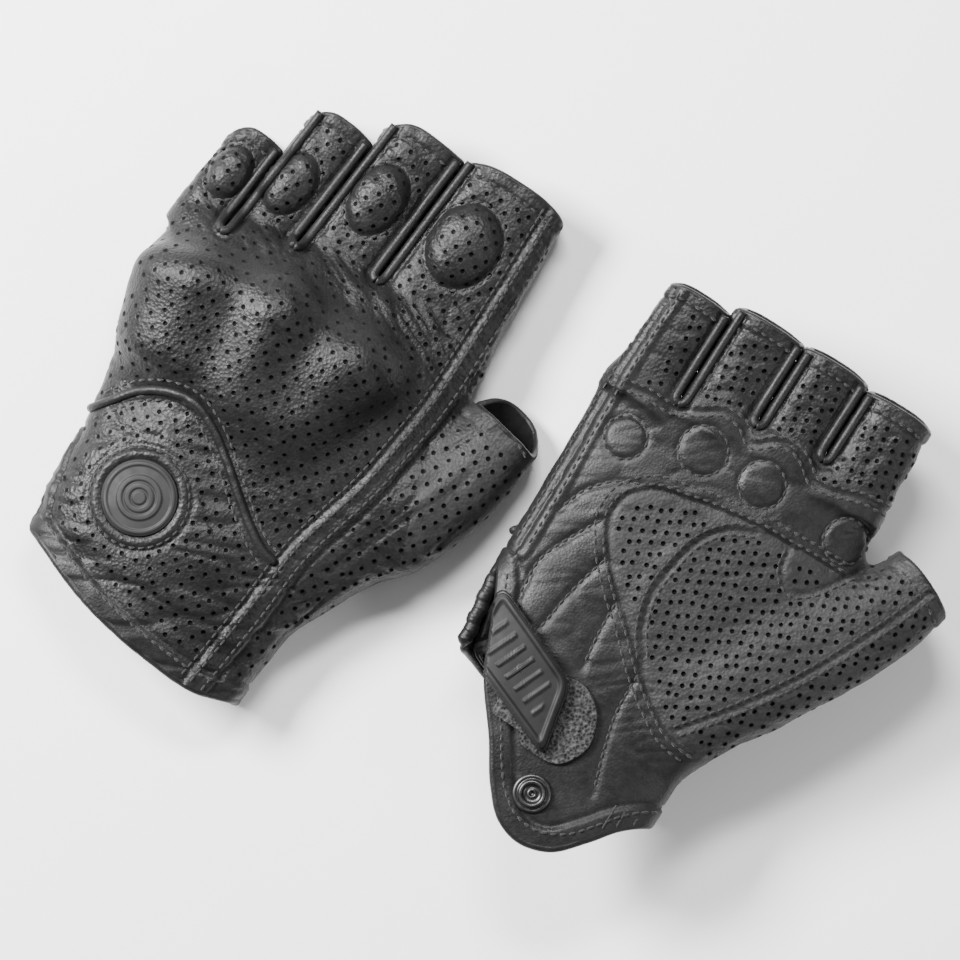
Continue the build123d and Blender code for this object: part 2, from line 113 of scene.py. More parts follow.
RIGHT = dict(
    name="right",
    rows=[(-110, -37, 26, 3.4, 40), (-92, -42, 26.5, 3.0, 42), (-70, -49, 27, 2.8, 43.5),
          (-58, -52.5, 28, 2.6, 44), (-44, -55, 34, 2.3, 44), (-28, -56.5, 44, 2.0, 42),
          (0, -57.5, 46, 1.6, 41), (20, -58, 44, 1.3, 38), (40, -58, 40, 1.2, 31),
          (60, -56, 38, 1.2, 24)],
    thumb_rows=[(-62, 12, 28, 9, 24), (-50, 8, 33, 5, 27), (-36, 8, 42, 3.0, 29), (-20, 14, 53, 2, 29),
                (-4, 22, 61.5, 2, 29), (10, 32, 68, 2.6, 28.5), (22, 41, 72, 3.4, 27.5),
                (34, 47.5, 74.5, 4.0, 26), (46, 53, 78, 4.6, 25)],
    hand_end=[(-70, 42), (-46, 44), (-22, 48), (2, 50), (26, 49), (44, 47), (80, 44)],
    lobes=[(13, 21, 16.5, 45.5, 9, -2, 15, 44.0), (-10, 20, 16, 46, -8, -3, 15, 44.5),
           (-32, 15, 13.5, 45.5, -28, -4, 13, 43.5), (-46, 10, 10, 41, -42, -4, 10, 39.5)],
    digits={
        "pinky": dict(base=(-46.0, 43.5), turn=0.6, wide=(12.0, 10.8), high=(9.6, 8.8), length=30.0,
                      centre=10.2, bend=5.0, pad=(-1.0, 15.0, 6.8, 8.8, 2.8), crown=(2.0, 1.0)),
        "ring": dict(base=(-22.3, 48.0), turn=0.5, wide=(13.0, 12.6), high=(10.0, 9.4), length=29.5,
                     centre=10.8, bend=5.0, pad=(-1.0, 14.6, 7.6, 9.8, 3.0), crown=(1.5, 1.0)),
        "middle": dict(base=(1.8, 50.0), turn=0.5, wide=(12.6, 12.2), high=(10.0, 9.4),
                       length=28.0, centre=11.0, bend=5.0, pad=(-0.8, 14.0, 8.0, 9.8, 3.2),
                       crown=(1.5, 1.5)),
        "index": dict(base=(26.4, 49.0), turn=-0.5, wide=(13.4, 12.0), high=(10.0, 9.6),
                      length=27.5, centre=11.2, bend=5.0, pad=(-0.8, 13.8, 8.8, 10.0, 3.2),
                      crown=(1.0, 1.5)),
        "thumb": dict(base=(52.0, 5.0), turn=24.0, wide=(15.0, 12.0), high=(12.5, 10.0),
                      length=31.0, centre=14.5, bend=0.0, pad=None, crown=(1.0, 2.0)),
    },
    slits=[((-34.6, 42.5), (-34.2, 110)), ((-10.0, 49.5), (-9.6, 110)), ((13.6, 51.5), (14.2, 110))],
    back_hem=[(-90, -56), (-52, -61), (-25, -70), (0, -76), (24, -77), (50, -76), (90, -74)],
    palm_hem=[(-90, -26), (-57, -30), (-53, -36), (-47, -49), (-40, -64), (-28, -80), (-20, -92),
              (-12, -100), (-5, -102.3), (5, -100), (14, -91), (21, -82.5), (27, -78), (50, -75),
              (90, -72)],
    web_x=44.0,
    thumb_fold=((44, 9), (0.95, 0.31), 28.0),
    arch=[(-58, -22), (-54, -17), (-48, -9), (-42, -4), (-28, 1), (-12, -5), (6, -17), (22.5, -24)],
    side_seam=[(18, -110), (18, -50), (19, -20), (21, 2), (25, 22), (28.5, 45), (29, 70), (29, 100)],
    badge=(-24.0, -38.0),
    strap=dict(axis=(-56.0, -48.5, 12.5), width=23.4, end=(-13.0, -64.3)),
    snap=(-8.5, -88.0),
    palm_map=None,
)

# Lines of the palm side, in the right glove's layout.
PALM_LINES = dict(
    finger_seam=[(-57, 36.5), (-52, 37), (-45, 38.3), (-35, 38.5), (-28, 42), (-20, 46.5), (-14, 46),
                 (-8, 42.5), (-2, 47), (3, 48.5), (8, 47), (15, 42.5), (22, 43.5), (32, 46.5),
                 (40, 47)],
    overlay=[(38.5, 22), (30, 22), (20, 21.5), (8, 21), (0, 20), (-15, 17), (-28, 13), (-33.5, 6),
             (-34, 0), (-30, -8), (-20, -19), (-10, -27.5), (0, -37), (10, -44.5), (18, -49),
             (29, -50.5)],
    ball=[(8, 19.5), (0, 15.5), (-6, 8), (-9, -3), (-10, -14), (-7, -25), (0, -35.5)],
    crotch=[(20, 20), (21, 14), (24, 10.5), (27.5, 9.5), (32, 12), (38, 20), (42, 26)],
    thumb_side=[(65, 33), (60, 20), (55, 9), (45, -11), (35, -27), (27, -38), (19.5, -47.5)],
    quilting=[[(-31, 13), (-39, 9), (-44.5, 3), (-49, -8)],
              [(-35.5, -3), (-41, -13), (-45.5, -24), (-45, -37)],
              [(-28, -13), (-31.5, -26), (-34, -42)],
              [(-18, -23), (-17.5, -34), (-16, -46)],
              [(0, -38), (0.5, -52), (4, -66), (8, -78)]],
    pads=[(-43, 23, 6.6), (-20, 32.3, 7.6), (1.5, 33, 7.2), (33.5, 32, 7.0)],
    ulnar=[(-54.5, 74), (-55, 40), (-54.5, 20), (-53.5, 0), (-53, -24)],
)

# ---------------------------------------------------------------------------------------------
# Small numeric helpers
# ---------------------------------------------------------------------------------------------


def smooth(t):
    t = np.clip(t, 0.0, 1.0)
    return t * t * (3 - 2 * t)


def smin(a, b, k):
    h = np.clip(0.5 + 0.5 * (b - a) / k, 0.0, 1.0)
    return b + (a - b) * h - k * h * (1 - h)


def hermite(at, knots, values):
    """A smooth curve through the knots, held level beyond both ends."""
    knots = np.asarray(knots, float)
    values = np.asarray(values, float)
    slope = np.gradient(values, knots)
    at = np.clip(at, knots[0], knots[-1])
    i = np.clip(np.searchsorted(knots, at) - 1, 0, len(knots) - 2)
    step = knots[i + 1] - knots[i]
    t = (at - knots[i]) / step
    h00 = 2 * t**3 - 3 * t**2 + 1
    h10 = t**3 - 2 * t**2 + t
    h01 = -2 * t**3 + 3 * t**2
    h11 = t**3 - t**2
    return h00 * values[i] + h10 * step * slope[i] + h01 * values[i + 1] + h11 * step * slope[i + 1]


def path(points, spacing=1.5):
    """Points at even spacing along a smooth curve through the given points."""
    pts = np.asarray(points, float)
    along = np.concatenate([[0], np.cumsum(np.linalg.norm(np.diff(pts, axis=0), axis=1))])
    dense = np.linspace(0, along[-1], max(8, int(along[-1] * 3)))
    line = np.stack([hermite(dense, along, pts[:, k]) for k in range(pts.shape[1])], 1)
    run = np.concatenate([[0], np.cumsum(np.linalg.norm(np.diff(line, axis=0), axis=1))])
    even = np.linspace(0, run[-1], max(2, int(round(run[-1] / spacing)) + 1))
    return np.stack([np.interp(even, run, line[:, k]) for k in range(pts.shape[1])], 1)


def distance_to(P, line):
    """Distance in plan from each point to a polyline, and which side it lies on."""
    best = np.full(len(P), 1e9)
    side = np.zeros(len(P))
    for a, b in zip(line[:-1], line[1:]):
        d = b - a
        q = P[:, :2] - a
        t = np.clip((q @ d) / max(d @ d, 1e-12), 0, 1)
        gap = np.hypot(q[:, 0] - t * d[0], q[:, 1] - t * d[1])
        closer = gap < best
        best[closer] = gap[closer]
        side[closer] = np.sign(d[0] * q[closer, 1] - d[1] * q[closer, 0])
    return best, side


def inside(P, outline):
    """Whether each point lies inside a closed plan outline."""
    x, y = P[:, 0], P[:, 1]
    hit = np.zeros(len(P), bool)
    for (x0, y0), (x1, y1) in zip(outline, np.roll(outline, -1, axis=0)):
        crosses = (y0 > y) != (y1 > y)
        span = y1 - y0 if abs(y1 - y0) > 1e-9 else 1e-9
        hit ^= crosses & (x < (x1 - x0) * (y - y0) / span + x0)
    return hit


def lattice(ix, iy, iz, seed):
    h = (ix * 374761393 + iy * 668265263 + iz * 2147483647 + seed * 974634777) & 0xFFFFFFFF
    h = ((h ^ (h >> 13)) * 1274126177) & 0xFFFFFFFF
    return ((h ^ (h >> 16)) & 0xFFFF) / 32767.5 - 1.0


def noise(P, scale, seed=0):
    """Smooth noise from -1 to 1 with features about as wide as the scale."""
    q = P / scale
    base = np.floor(q).astype(np.int64)
    f = q - base
    f = f * f * (3 - 2 * f)
    total = np.zeros(len(P))
    for dx in (0, 1):
        for dy in (0, 1):
            for dz in (0, 1):
                weight = np.abs(1 - dx - f[:, 0]) * np.abs(1 - dy - f[:, 1]) * np.abs(1 - dz - f[:, 2])
                total += weight * lattice(base[:, 0] + dx, base[:, 1] + dy, base[:, 2] + dz, seed)
    return total


def ridges(P, direction, across, along, seed=0):
    """Creases that run along a plan direction: narrow across it and long along it, from 0 to 1."""
    c, s = math.cos(math.radians(direction)), math.sin(math.radians(direction))
    u = P[:, 0] * c + P[:, 1] * s
    v = -P[:, 0] * s + P[:, 1] * c
    wobble = 0.5 * across * noise(P, along * 0.8, seed + 7)
    q = np.stack([u / along, (v + wobble) / across, P[:, 2] / along], 1)
    return 1 - np.abs(noise(q, 1.0, seed))


# ---------------------------------------------------------------------------------------------
# The glove as a distance field
# ---------------------------------------------------------------------------------------------


def oval(x, z, half, up, down, top_power, low_power):
    """Approximate distance to a rounded oval that may differ above and below its middle."""
    high = z > 0
    b = np.where(high, up, down)
    n = np.where(high, top_power, low_power)
    u = np.maximum(np.abs(x) / half, 1e-4)
    v = np.maximum(np.abs(z) / b, 1e-4)
    un = u ** (n - 1)
    vn = v ** (n - 1)
    rho = (un * u + vn * v) ** (1 / n)
    grad = np.sqrt((un / half) ** 2 + (vn / b) ** 2) * rho ** (1 - n)
    return (rho - 1) / np.maximum(grad, 0.5 / (half + b))


def loft(P, rows, top_power=2.2, low_power=2.7, middle=PARTING):
    """Approximate distance to a tube given by its width and height at several y."""
    table = np.asarray(rows, float)
    fine = np.linspace(table[0, 0], table[-1, 0], 400)
    lo, hi, bottom, top = (np.interp(P[..., 1], fine, hermite(fine, table[:, 0], table[:, k]))
                           for k in (1, 2, 3, 4))
    x = P[..., 0] - (lo + hi) / 2
    z = P[..., 2] - middle
    return oval(x, z, (hi - lo) / 2, top - middle, middle - bottom, top_power, low_power)


def digit_frame(P, d):
    """Each point across, above and along a digit, which may be bent smoothly towards the palm,
    and the digit's direction there as (plan share, height share)."""
    t = math.radians(d["turn"])
    dx = P[..., 0] - d["base"][0]
    dy = P[..., 1] - d["base"][1]
    along = dx * math.sin(t) + dy * math.cos(t)
    across = dx * math.cos(t) - dy * math.sin(t)
    above = P[..., 2] - d["centre"]
    if not d["bend"]:
        return across, above, along, (np.ones_like(along), np.zeros_like(along))
    theta = math.radians(d["bend"])
    radius = BEND_REACH / theta
    angle = np.arctan2(along, above + radius)
    bent_along = angle * radius
    bent_above = np.hypot(along, above + radius) - radius
    c, s = math.cos(theta), math.sin(theta)
    q_along = along - radius * s
    q_above = above + radius - radius * c
    far_along = BEND_REACH + q_along * c - q_above * s
    far_above = q_along * s + q_above * c
    past = angle > theta
    before = along < 0
    w = np.where(before, along, np.where(past, far_along, bent_along))
    v = np.where(before, above, np.where(past, far_above, bent_above))
    lean = np.clip(np.where(before, 0, angle), 0, theta)
    return across, v, w, (np.cos(lean), -np.sin(lean))


def digit_field(P, d):
    """Distance to one digit's tube, which runs on past both of its ends."""
    u, v, w, _ = digit_frame(P, d)
    t = np.clip(w / d["length"], 0, 1)
    a = d["wide"][0] + (d["wide"][1] - d["wide"][0]) * t
    b = d["high"][0] + (d["high"][1] - d["high"][0]) * t
    tube = oval(u, v, a, b, b, 2.6, 2.7)
    return np.maximum(np.maximum(tube, -w - 9.0), w - d["length"] - 6.0)


def pad_height(u, w, pad):
    """How far a stuffed knuckle pad stands up from its finger."""
    x, y, half_wide, half_long, height = pad
    r = ((u - x) / half_wide) ** 2 + ((w - y) / half_long) ** 2
    return height * np.clip(1 - r, 0, 1) ** 0.62


def lobe_field(P, lobes):
    """Distance to the knuckle armour: tapered capsules melted together."""
    field = None
    for x0, y0, r0, top0, x1, y1, r1, top1 in lobes:
        a = np.array((x0, y0, top0 - r0))
        b = np.array((x1, y1, top1 - r1))
        q = P - a
        t = np.clip((q @ (b - a)) / ((b - a) @ (b - a)), 0, 1)
        gap = np.linalg.norm(q - t[..., None] * (b - a), axis=-1)
        one = gap - (r0 + (r1 - r0) * t)
        field = one if field is None else smin(field, one, 12.0)
    return field


def skin_field(P, g):
    """Distance to the outside of the whole glove."""
    body = loft(P, g["rows"])
    end = np.interp(P[..., 0], *np.array(g["hand_end"], float).T)
    body = -smin(-body, -(P[..., 1] - end), 7.0)
    thumb = loft(P, g["thumb_rows"], 2.2, 2.3)
    body = smin(body, thumb, 7.0)
    body = smin(body, lobe_field(P, g["lobes"]), 6.5)
    for name, d in g["digits"].items():
        if name != "thumb":
            body = smin(body, digit_field(P, d), 4.5)
    # The slits wave sideways with depth, so that no light shows straight through them.
    _, depth, _, _ = digit_frame(P, g["digits"]["ring"])
    snake = 0.9 * np.sin(np.pi * np.clip(depth / 8.5, -1, 1))
    for (x0, y0), (x1, y1) in g["slits"]:
        middle = x0 + (P[..., 1] - y0) * (x1 - x0) / (y1 - y0) + snake
        slab = np.maximum(np.abs(P[..., 0] - middle) - SLIT_HALF, y0 - P[..., 1])
        body = np.maximum(body, -slab)
    return body


def surface_net(F, origin, step):
    """Quads through the cells where the field changes sign."""
    neg = F < 0
    corners = [neg[i:F.shape[0] - 1 + i, j:F.shape[1] - 1 + j, k:F.shape[2] - 1 + k]
               for i in (0, 1) for j in (0, 1) for k in (0, 1)]
    count = sum(c.astype(np.int8) for c in corners)
    cells = np.argwhere((count > 0) & (count < 8))
    index = np.full(count.shape, -1, np.int64)
    index[tuple(cells.T)] = np.arange(len(cells))
    where = np.zeros((len(cells), 3))
    hits = np.zeros(len(cells))
    for axis in range(3):
        others = [k for k in range(3) if k != axis]
        for p in (0, 1):
            for q in (0, 1):
                start = cells.copy()
                start[:, others[0]] += p
                start[:, others[1]] += q
                stop = start.copy()
                stop[:, axis] += 1
                f0 = F[tuple(start.T)]
                f1 = F[tuple(stop.T)]
                crossing = (f0 < 0) != (f1 < 0)
                share = f0[crossing] / (f0[crossing] - f1[crossing])
                point = start[crossing].astype(float)
                point[:, axis] += share
                where[crossing] += point
                hits[crossing] += 1
    V = origin + step * where / hits[:, None]
    quads = []
    for axis in range(3):
        b, c = [k for k in range(3) if k != axis]
        low = np.take(neg, range(F.shape[axis] - 1), axis)
        high = np.take(neg, range(1, F.shape[axis]), axis)
        edges = np.argwhere(low != high)
        ok = (edges[:, b] > 0) & (edges[:, c] > 0)
        ok &= (edges[:, b] < count.shape[b]) & (edges[:, c] < count.shape[c])
        edges = edges[ok]
        ring = []
        for db, dc in ((0, 0), (-1, 0), (-1, -1), (0, -1)):
            cell = edges.copy()
            cell[:, b] += db
            cell[:, c] += dc
            ring.append(index[tuple(cell.T)])
        ring = np.stack(ring, 1)
        outward = low[tuple(edges.T)]
        if axis == 1:
            outward = ~outward
        quads.append(np.where(outward[:, None], ring, ring[:, ::-1]))
    return V, np.concatenate(quads)


def vertex_normals(V, Q):
    n = np.cross(V[Q[:, 2]] - V[Q[:, 0]], V[Q[:, 3]] - V[Q[:, 1]])
    N = np.zeros_like(V)
    for k in range(4):
        np.add.at(N, Q[:, k], n)
    return N / np.maximum(np.linalg.norm(N, axis=1, keepdims=True), 1e-12)


def neighbour_mean(values, Q):
    """The mean of each vertex's neighbours along the faces' edges."""
    total = np.zeros_like(values)
    count = np.zeros(len(values))
    for a, b in ((0, 1), (1, 2), (2, 3), (3, 0)):
        np.add.at(total, Q[:, a], values[Q[:, b]])
        np.add.at(total, Q[:, b], values[Q[:, a]])
        np.add.at(count, Q[:, a], 1)
        np.add.at(count, Q[:, b], 1)
    count = np.maximum(count, 1)
    return total / (count[:, None] if values.ndim > 1 else count)


def relax(V, Q, times, fixed=None, pull=0.5):
    """Evens out the vertices by moving each towards the middle of its neighbours."""
    for _ in range(times):
        moved = V + pull * (neighbour_mean(V, Q) - V)
        if fixed is not None:
            moved[fixed] = V[fixed]
        V = moved
    return V


def compact(V, Q, *extra):
    """Drops the vertices that no face uses."""
    used = np.unique(Q)
    back = np.full(len(V), -1, np.int64)
    back[used] = np.arange(len(used))
    return (V[used], back[Q]) + tuple(e[used] for e in extra)


def border_vertices(Q):
    """The open edges, as pairs of vertices."""
    E = np.sort(np.concatenate([Q[:, [0, 1]], Q[:, [1, 2]], Q[:, [2, 3]], Q[:, [3, 0]]]), axis=1)
    E, count = np.unique(E, axis=0, return_counts=True)
    return E[count == 1]


def border_loops(Q):
    """The open borders as ordered loops of vertices."""
    nexts = {}
    for a, b in border_vertices(Q):
        nexts.setdefault(int(a), []).append(int(b))
        nexts.setdefault(int(b), []).append(int(a))
    loops = []
    left = set(nexts)
    while left:
        start = min(left)
        loop = [start]
        left.discard(start)
        while True:
            step = [n for n in nexts[loop[-1]] if n in left]
            if not step:
                break
            loop.append(step[0])
            left.discard(step[0])
        if len(loop) > 12:
            loops.append(loop)
    return loops


# ---------------------------------------------------------------------------------------------
# Building one glove's skin
# ---------------------------------------------------------------------------------------------


def mapped(points, mapping):
    """Plan points of the right glove's palm moved to where a glove's own map puts them."""
    pts = np.asarray(points, float).copy()
    if mapping is not None:
        pts[:, 0] = np.interp(pts[:, 0], mapping[0], mapping[1])
        pts[:, 1] += mapping[2] * smooth((pts[:, 1] + 20) / 40)
    return pts


def tip_cut(u, v, d):
    """How far along the digit its open end lies, drawn back at both corners and, on a slanted
    mouth, on the back."""
    low, high = d["crown"]
    r = np.clip(u / d["wide"][1], -1.2, 1.2)
    slant = d.get("slant", 0.0) * np.clip(v / d["high"][1], -1.2, 1.2)
    return d["length"] - low * np.clip(-r, 0, 2) ** 3 - high * np.clip(r, 0, 2) ** 3 - slant


def hem_at(P, g):
    """The y of the wrist's edge at each point, from the back's line and the palm's."""
    back = np.interp(P[:, 0], *path(g["back_hem"], 1.0).T)
    palm = np.interp(P[:, 0], *path(g["palm_hem"], 1.0).T)
    share = smooth((P[:, 2] - PARTING + 4.5) / 9.0)
    return palm + (back - palm) * share


def digit_owner(P, g, start):
    """Which digit each point belongs to, or -1 for the hand."""
    owner = np.full(len(P), -1)
    middles = [x0 + (P[:, 1] - y0) * (x1 - x0) / (y1 - y0) for (x0, y0), (x1, y1) in g["slits"]]
    low = [np.full(len(P), -1e9)] + middles
    high = middles + [np.full(len(P), g["web_x"])]
    for k, (name, d) in enumerate(g["digits"].items()):
        if name == "thumb":
            (x0, y0), (dx, dy), _ = g["thumb_fold"]
            fold = (P[:, 0] - x0) * dx + (P[:, 1] - y0) * dy
            mine = (fold > start) & (P[:, 0] > g["web_x"])
        else:
            along = digit_frame(P, d)[2]
            mine = (along > start) & (P[:, 0] > low[k]) & (P[:, 0] < high[k])
        owner[mine & (owner < 0)] = k
    return owner


def make_skin(g):
    """The glove's outer surface, cut open at the wrist and at every digit's end."""
    rows = np.array(g["rows"])
    low = np.array([-70.0, rows[0, 0] - 1, -24.0 if g["name"] == "right" else -2.0])
    high = np.array([80.0, 104.0, 54.0])
    counts = np.ceil((high - low) / GRID).astype(int) + 1
    axes = [low[k] + GRID * np.arange(counts[k]) for k in range(3)]
    F = np.empty(counts, np.float32)
    for start in range(0, counts[0], 12):
        block = np.stack(np.meshgrid(axes[0][start:start + 12], axes[1], axes[2], indexing="ij"), -1)
        F[start:start + 12] = skin_field(block, g)
    V, Q = surface_net(F, low, GRID)

    def settle(V):
        e = 0.25
        f = skin_field(V, g)
        G = np.stack([(skin_field(V + e * np.eye(3)[k], g) - skin_field(V - e * np.eye(3)[k], g))
                      / (2 * e) for k in range(3)], 1)
        size = np.maximum((G**2).sum(1), 0.2)
        return V - np.clip(f / size, -0.8, 0.8)[:, None] * G

    for _ in range(2):
        V = settle(relax(V, Q, 2))
    # Keep what lies inside the hem and the digits' ends.
    kept = V[:, 1] - hem_at(V, g)
    owner = digit_owner(V, g, 0.0)
    for k, d in enumerate(g["digits"].values()):
        u, v, w, _ = digit_frame(V, d)
        mine = owner == k
        kept[mine] = np.minimum(kept[mine], (tip_cut(u, v, d) - w)[mine])
    Q = Q[kept[Q].mean(1) > 0]
    V, Q, owner = compact(V, Q, owner)
    # The largest connected part is the glove.
    group = np.arange(len(V))
    for _ in range(60):
        before = group.copy()
        least = group[Q].min(1)
        for k in range(4):
            np.minimum.at(group, Q[:, k], least)
        group = group[group]
        if (group == before).all():
            break
    main = np.bincount(group).argmax()
    Q = Q[group[Q[:, 0]] == main]
    V, Q, owner = compact(V, Q, owner)
    rim = np.unique(border_vertices(Q))
    for k, d in enumerate(g["digits"].values()):
        mine = rim[owner[rim] == k]
        mine = mine[digit_frame(V[mine], d)[2] > d["length"] * 0.5]
        u, v, w, (plan, rise) = digit_frame(V[mine], d)
        move = tip_cut(u, v, d) - w
        t = math.radians(d["turn"])
        step = np.stack([plan * math.sin(t), plan * math.cos(t), rise], 1)
        V[mine] += move[:, None] * step
    wrist = rim[V[rim, 1] < WRIST_Y]
    for _ in range(2):
        V[wrist, 1] = hem_at(V[wrist], g)
    # Even the spacing near the rims.
    V = relax(V, Q, 2, fixed=rim, pull=0.35)
    return V, Q, owner


def palm_line(name, g, spacing=1.5):
    """One of the palm's lines, in this glove's layout."""
    return path(mapped(PALM_LINES[name], g["palm_map"]), spacing)


def heel_region(overlay):
    """The closed outline of the thumb ball's panel, which runs on to the thumb side."""
    far = 120.0
    return np.vstack([overlay, [(far, overlay[-1, 1]), (far, overlay[0, 1])]])


def zones(V, g):
    """The hand panel that each point belongs to, numbered as in PANELS."""
    back = V[:, 2] > PARTING
    arch = path(g["arch"], 1.0)
    seam = path(g["side_seam"], 1.0)
    finger = palm_line("finger_seam", g, 1.0)
    label = np.full(len(V), 4)
    label[~back & inside(V, heel_region(palm_line("overlay", g, 1.0)))] = 5
    label[~back & (V[:, 1] > np.interp(V[:, 0], finger[:, 0], finger[:, 1]))] = 6
    label[back] = 1
    label[back & (V[:, 1] < np.interp(V[:, 0], arch[:, 0], arch[:, 1]))] = 2
    label[back & (V[:, 0] > np.interp(V[:, 1], seam[:, 1], seam[:, 0]))] = 3
    return label


def creases(V, direction, across, along, seed, least, gain):
    """How deep the leather's creases are: only the sharpest ridges count."""
    return gain * np.clip(ridges(V, direction, across, along, seed) - least, 0, 1)


def displacement(V, g, N, owner, wrist_gap):
    """Everything sewn, folded or stuffed that stands out from the plain form."""
    D = np.zeros(len(V))
    back = smooth((V[:, 2] - PARTING + 2) / 4)
    palm = 1 - back
    up = np.clip(np.abs(N[:, 2]) * 2.2, 0, 1)
    wall = np.zeros(len(V))
    calm = np.ones(len(V))
    for (x0, y0), (x1, y1) in g["slits"]:
        s, _ = distance_to(V, np.array([(x0, y0), (x1, y1)], float))
        steep = smooth((0.72 - np.abs(N[:, 2])) / 0.3)
        wall = np.maximum(wall, smooth((2.4 - s) / 0.8) * steep * smooth((V[:, 1] - y0 - 0.5) / 2))
        calm = np.minimum(calm, smooth((s - 3.2) / 1.5))
    # Soft unevenness, except where two fingers lie against each other.
    D += 0.60 * wall
    uneven = 0.50 * noise(V, 17.0, 3) + 0.20 * noise(V, 8.0, 5) + 0.06 * noise(V, 3.4, 9)
    D += (1 - wall) * (0.15 + 0.85 * calm) * uneven
    # Finger pads.
    lobe = lobe_field(V, g["lobes"])
    on_lobe = smooth((3.0 - np.abs(lobe)) / 3.0)
    for k, (name, d) in enumerate(g["digits"].items()):
        u, v, w, _ = digit_frame(V, d)
        mine = (np.abs(u) < d["wide"][0] + 1.5) & (w > -3)
        if d["pad"]:
            h = pad_height(u, w, d["pad"])
            x, y, hw, hl, _ = d["pad"]
            r = np.sqrt(((u - x) / hw) ** 2 + ((w - y) / hl) ** 2)
            groove = 0.55 * np.exp(-(((r - 1.06) * min(hw, hl)) / 0.9) ** 2)
            top = smooth(v / 4.0) * mine
            D += top * (h - groove)
            D -= top * creases(V, -20, 2.4, 11, 21, 0.72, 1.5) * smooth((r - 1.1) / 0.3)
        tip = tip_cut(u, v, d) - w
        mine = (owner == k) & (mine | (name == "thumb"))
        D += mine * (0.35 * smooth((4.2 - tip) / 0.8) - 0.35 * np.exp(-((tip - 4.4) / 0.55) ** 2))
    # A groove beside the welts that run round the slits between the fingers.
    for (x0, y0), (x1, y1) in g["slits"]:
        s, _ = distance_to(V, np.array([(x0, y0), (x1, y1)], float))
        D -= up * (V[:, 1] > y0 - 8) * 0.6 * np.exp(-((s - 3.8) / 0.7) ** 2)
    # Seams of the back.
    arch = path(g["arch"], 1.5)
    s, side = distance_to(V, arch)
    on_back = back * (V[:, 0] < 30)
    D += on_back * (-0.7 * np.exp(-(s / 1.7) ** 2) - 0.5 * smooth((s * -side) / 3.0) * (s < 12))
    seam = path(g["side_seam"], 1.5)
    s, side = distance_to(V, seam)
    right = side < 0
    D += back * right * 0.75 * smooth(8.4 - s)
    D -= back * (0.8 * np.exp(-(s / 0.75) ** 2) + 0.45 * np.exp(-((s - 8.7) / 0.7) ** 2) * right)
    D -= back * right * (s < 8) * 0.28 * np.exp(-((s - 4.0) / 0.6) ** 2)
    # Padded ring round the badge and the folds of the cuff.
    r = np.hypot(V[:, 0] - g["badge"][0], V[:, 1] - g["badge"][1])
    D += back * (0.9 * np.exp(-((r - 14.2) / 1.5) ** 2) - 0.7 * np.exp(-((r - 16.8) / 0.9) ** 2))
    D -= back * 0.5 * smooth((12.6 - r) / 0.6)
    cuff = back * (V[:, 1] < np.interp(V[:, 0], arch[:, 0], arch[:, 1]) - 3) * smooth((r - 16) / 6)
    D -= cuff * creases(V, 28, 4.2, 22, 31, 0.70, 2.47)
    fold_y = np.interp(V[:, 0], [-60, -20, 20, 60], [-72, -80, -79, -74])
    D -= cuff * 0.8 * np.exp(-((V[:, 1] - fold_y) / 3.0) ** 2)
    # Creases of the leather between the armour, the fingers and the thumb.
    gap = back * smooth((V[:, 1] - 26) / 8) * (1 - on_lobe * 0.5)
    D -= gap * creases(V, -24, 2.6, 15, 41, 0.68, 1.56)
    D -= back * smooth((V[:, 0] - 38) / 6) * creases(V, 72, 3.4, 20, 43, 0.66, 2.16)
    heel = back * smooth((-8 - V[:, 1]) / 6) * smooth((V[:, 1] + 44) / 6)
    D -= heel * creases(V, 14, 2.6, 12, 47, 0.68, 1.08)
    # The binding along the wrist.
    D += 0.75 * smooth((6.4 - wrist_gap) / 0.8) - 0.55 * np.exp(-((wrist_gap - 6.9) / 0.6) ** 2)
    # Palm seams, quilting and gel pads.
    for name, width, depth, step in (("finger_seam", 0.7, 0.6, 0.2), ("overlay", 0.8, 0.7, -0.45),
                                     ("ball", 0.8, 0.9, -0.7), ("crotch", 0.8, 0.7, 0.4),
                                     ("thumb_side", 0.7, 0.7, 0.0), ("ulnar", 0.9, 0.9, 0.0)):
        s, side = distance_to(V, palm_line(name, g))
        D -= palm * depth * np.exp(-(s / width) ** 2)
        if step:
            D += palm * abs(step) * smooth(np.where(side * np.sign(step) > 0, 1, 0) * (7.5 - s) / 6)
    s, side = distance_to(V, palm_line("ulnar", g))
    D += palm * (side > 0) * 0.9 * smooth((4.5 - s) / 1.2)
    for line in PALM_LINES["quilting"]:
        s, _ = distance_to(V, path(mapped(line, g["palm_map"]), 1.5))
        D -= palm * (0.75 * np.exp(-(s / 1.1) ** 2) + 0.35 * np.exp(-(s / 4.0) ** 2))
    for x, y, radius in PALM_LINES["pads"]:
        (x, y), = mapped([(x, y)], g["palm_map"])
        r = np.hypot(V[:, 0] - x, V[:, 1] - y)
        D += palm * (0.9 * np.clip(1 - (r / radius) ** 2, 0, 1) ** 0.45
                     - 0.6 * np.exp(-((r - radius - 0.3) / 0.7) ** 2))
    D -= palm * (V[:, 1] < 40) * (V[:, 1] > -60) * creases(V, 35, 3.0, 16, 53, 0.74, 1.04)
    D -= palm * smooth((V[:, 1] - 46) / 4) * creases(V, 4, 2.8, 9, 57, 0.66, 1.32)
    return D


def kd_tree(spots, keys=None):
    """A tree for nearest-point searches, giving each spot its key."""
    tree = KDTree(len(spots))
    for i, co in enumerate(spots):
        tree.insert(co, i if keys is None else int(keys[i]))
    tree.balance()
    return tree


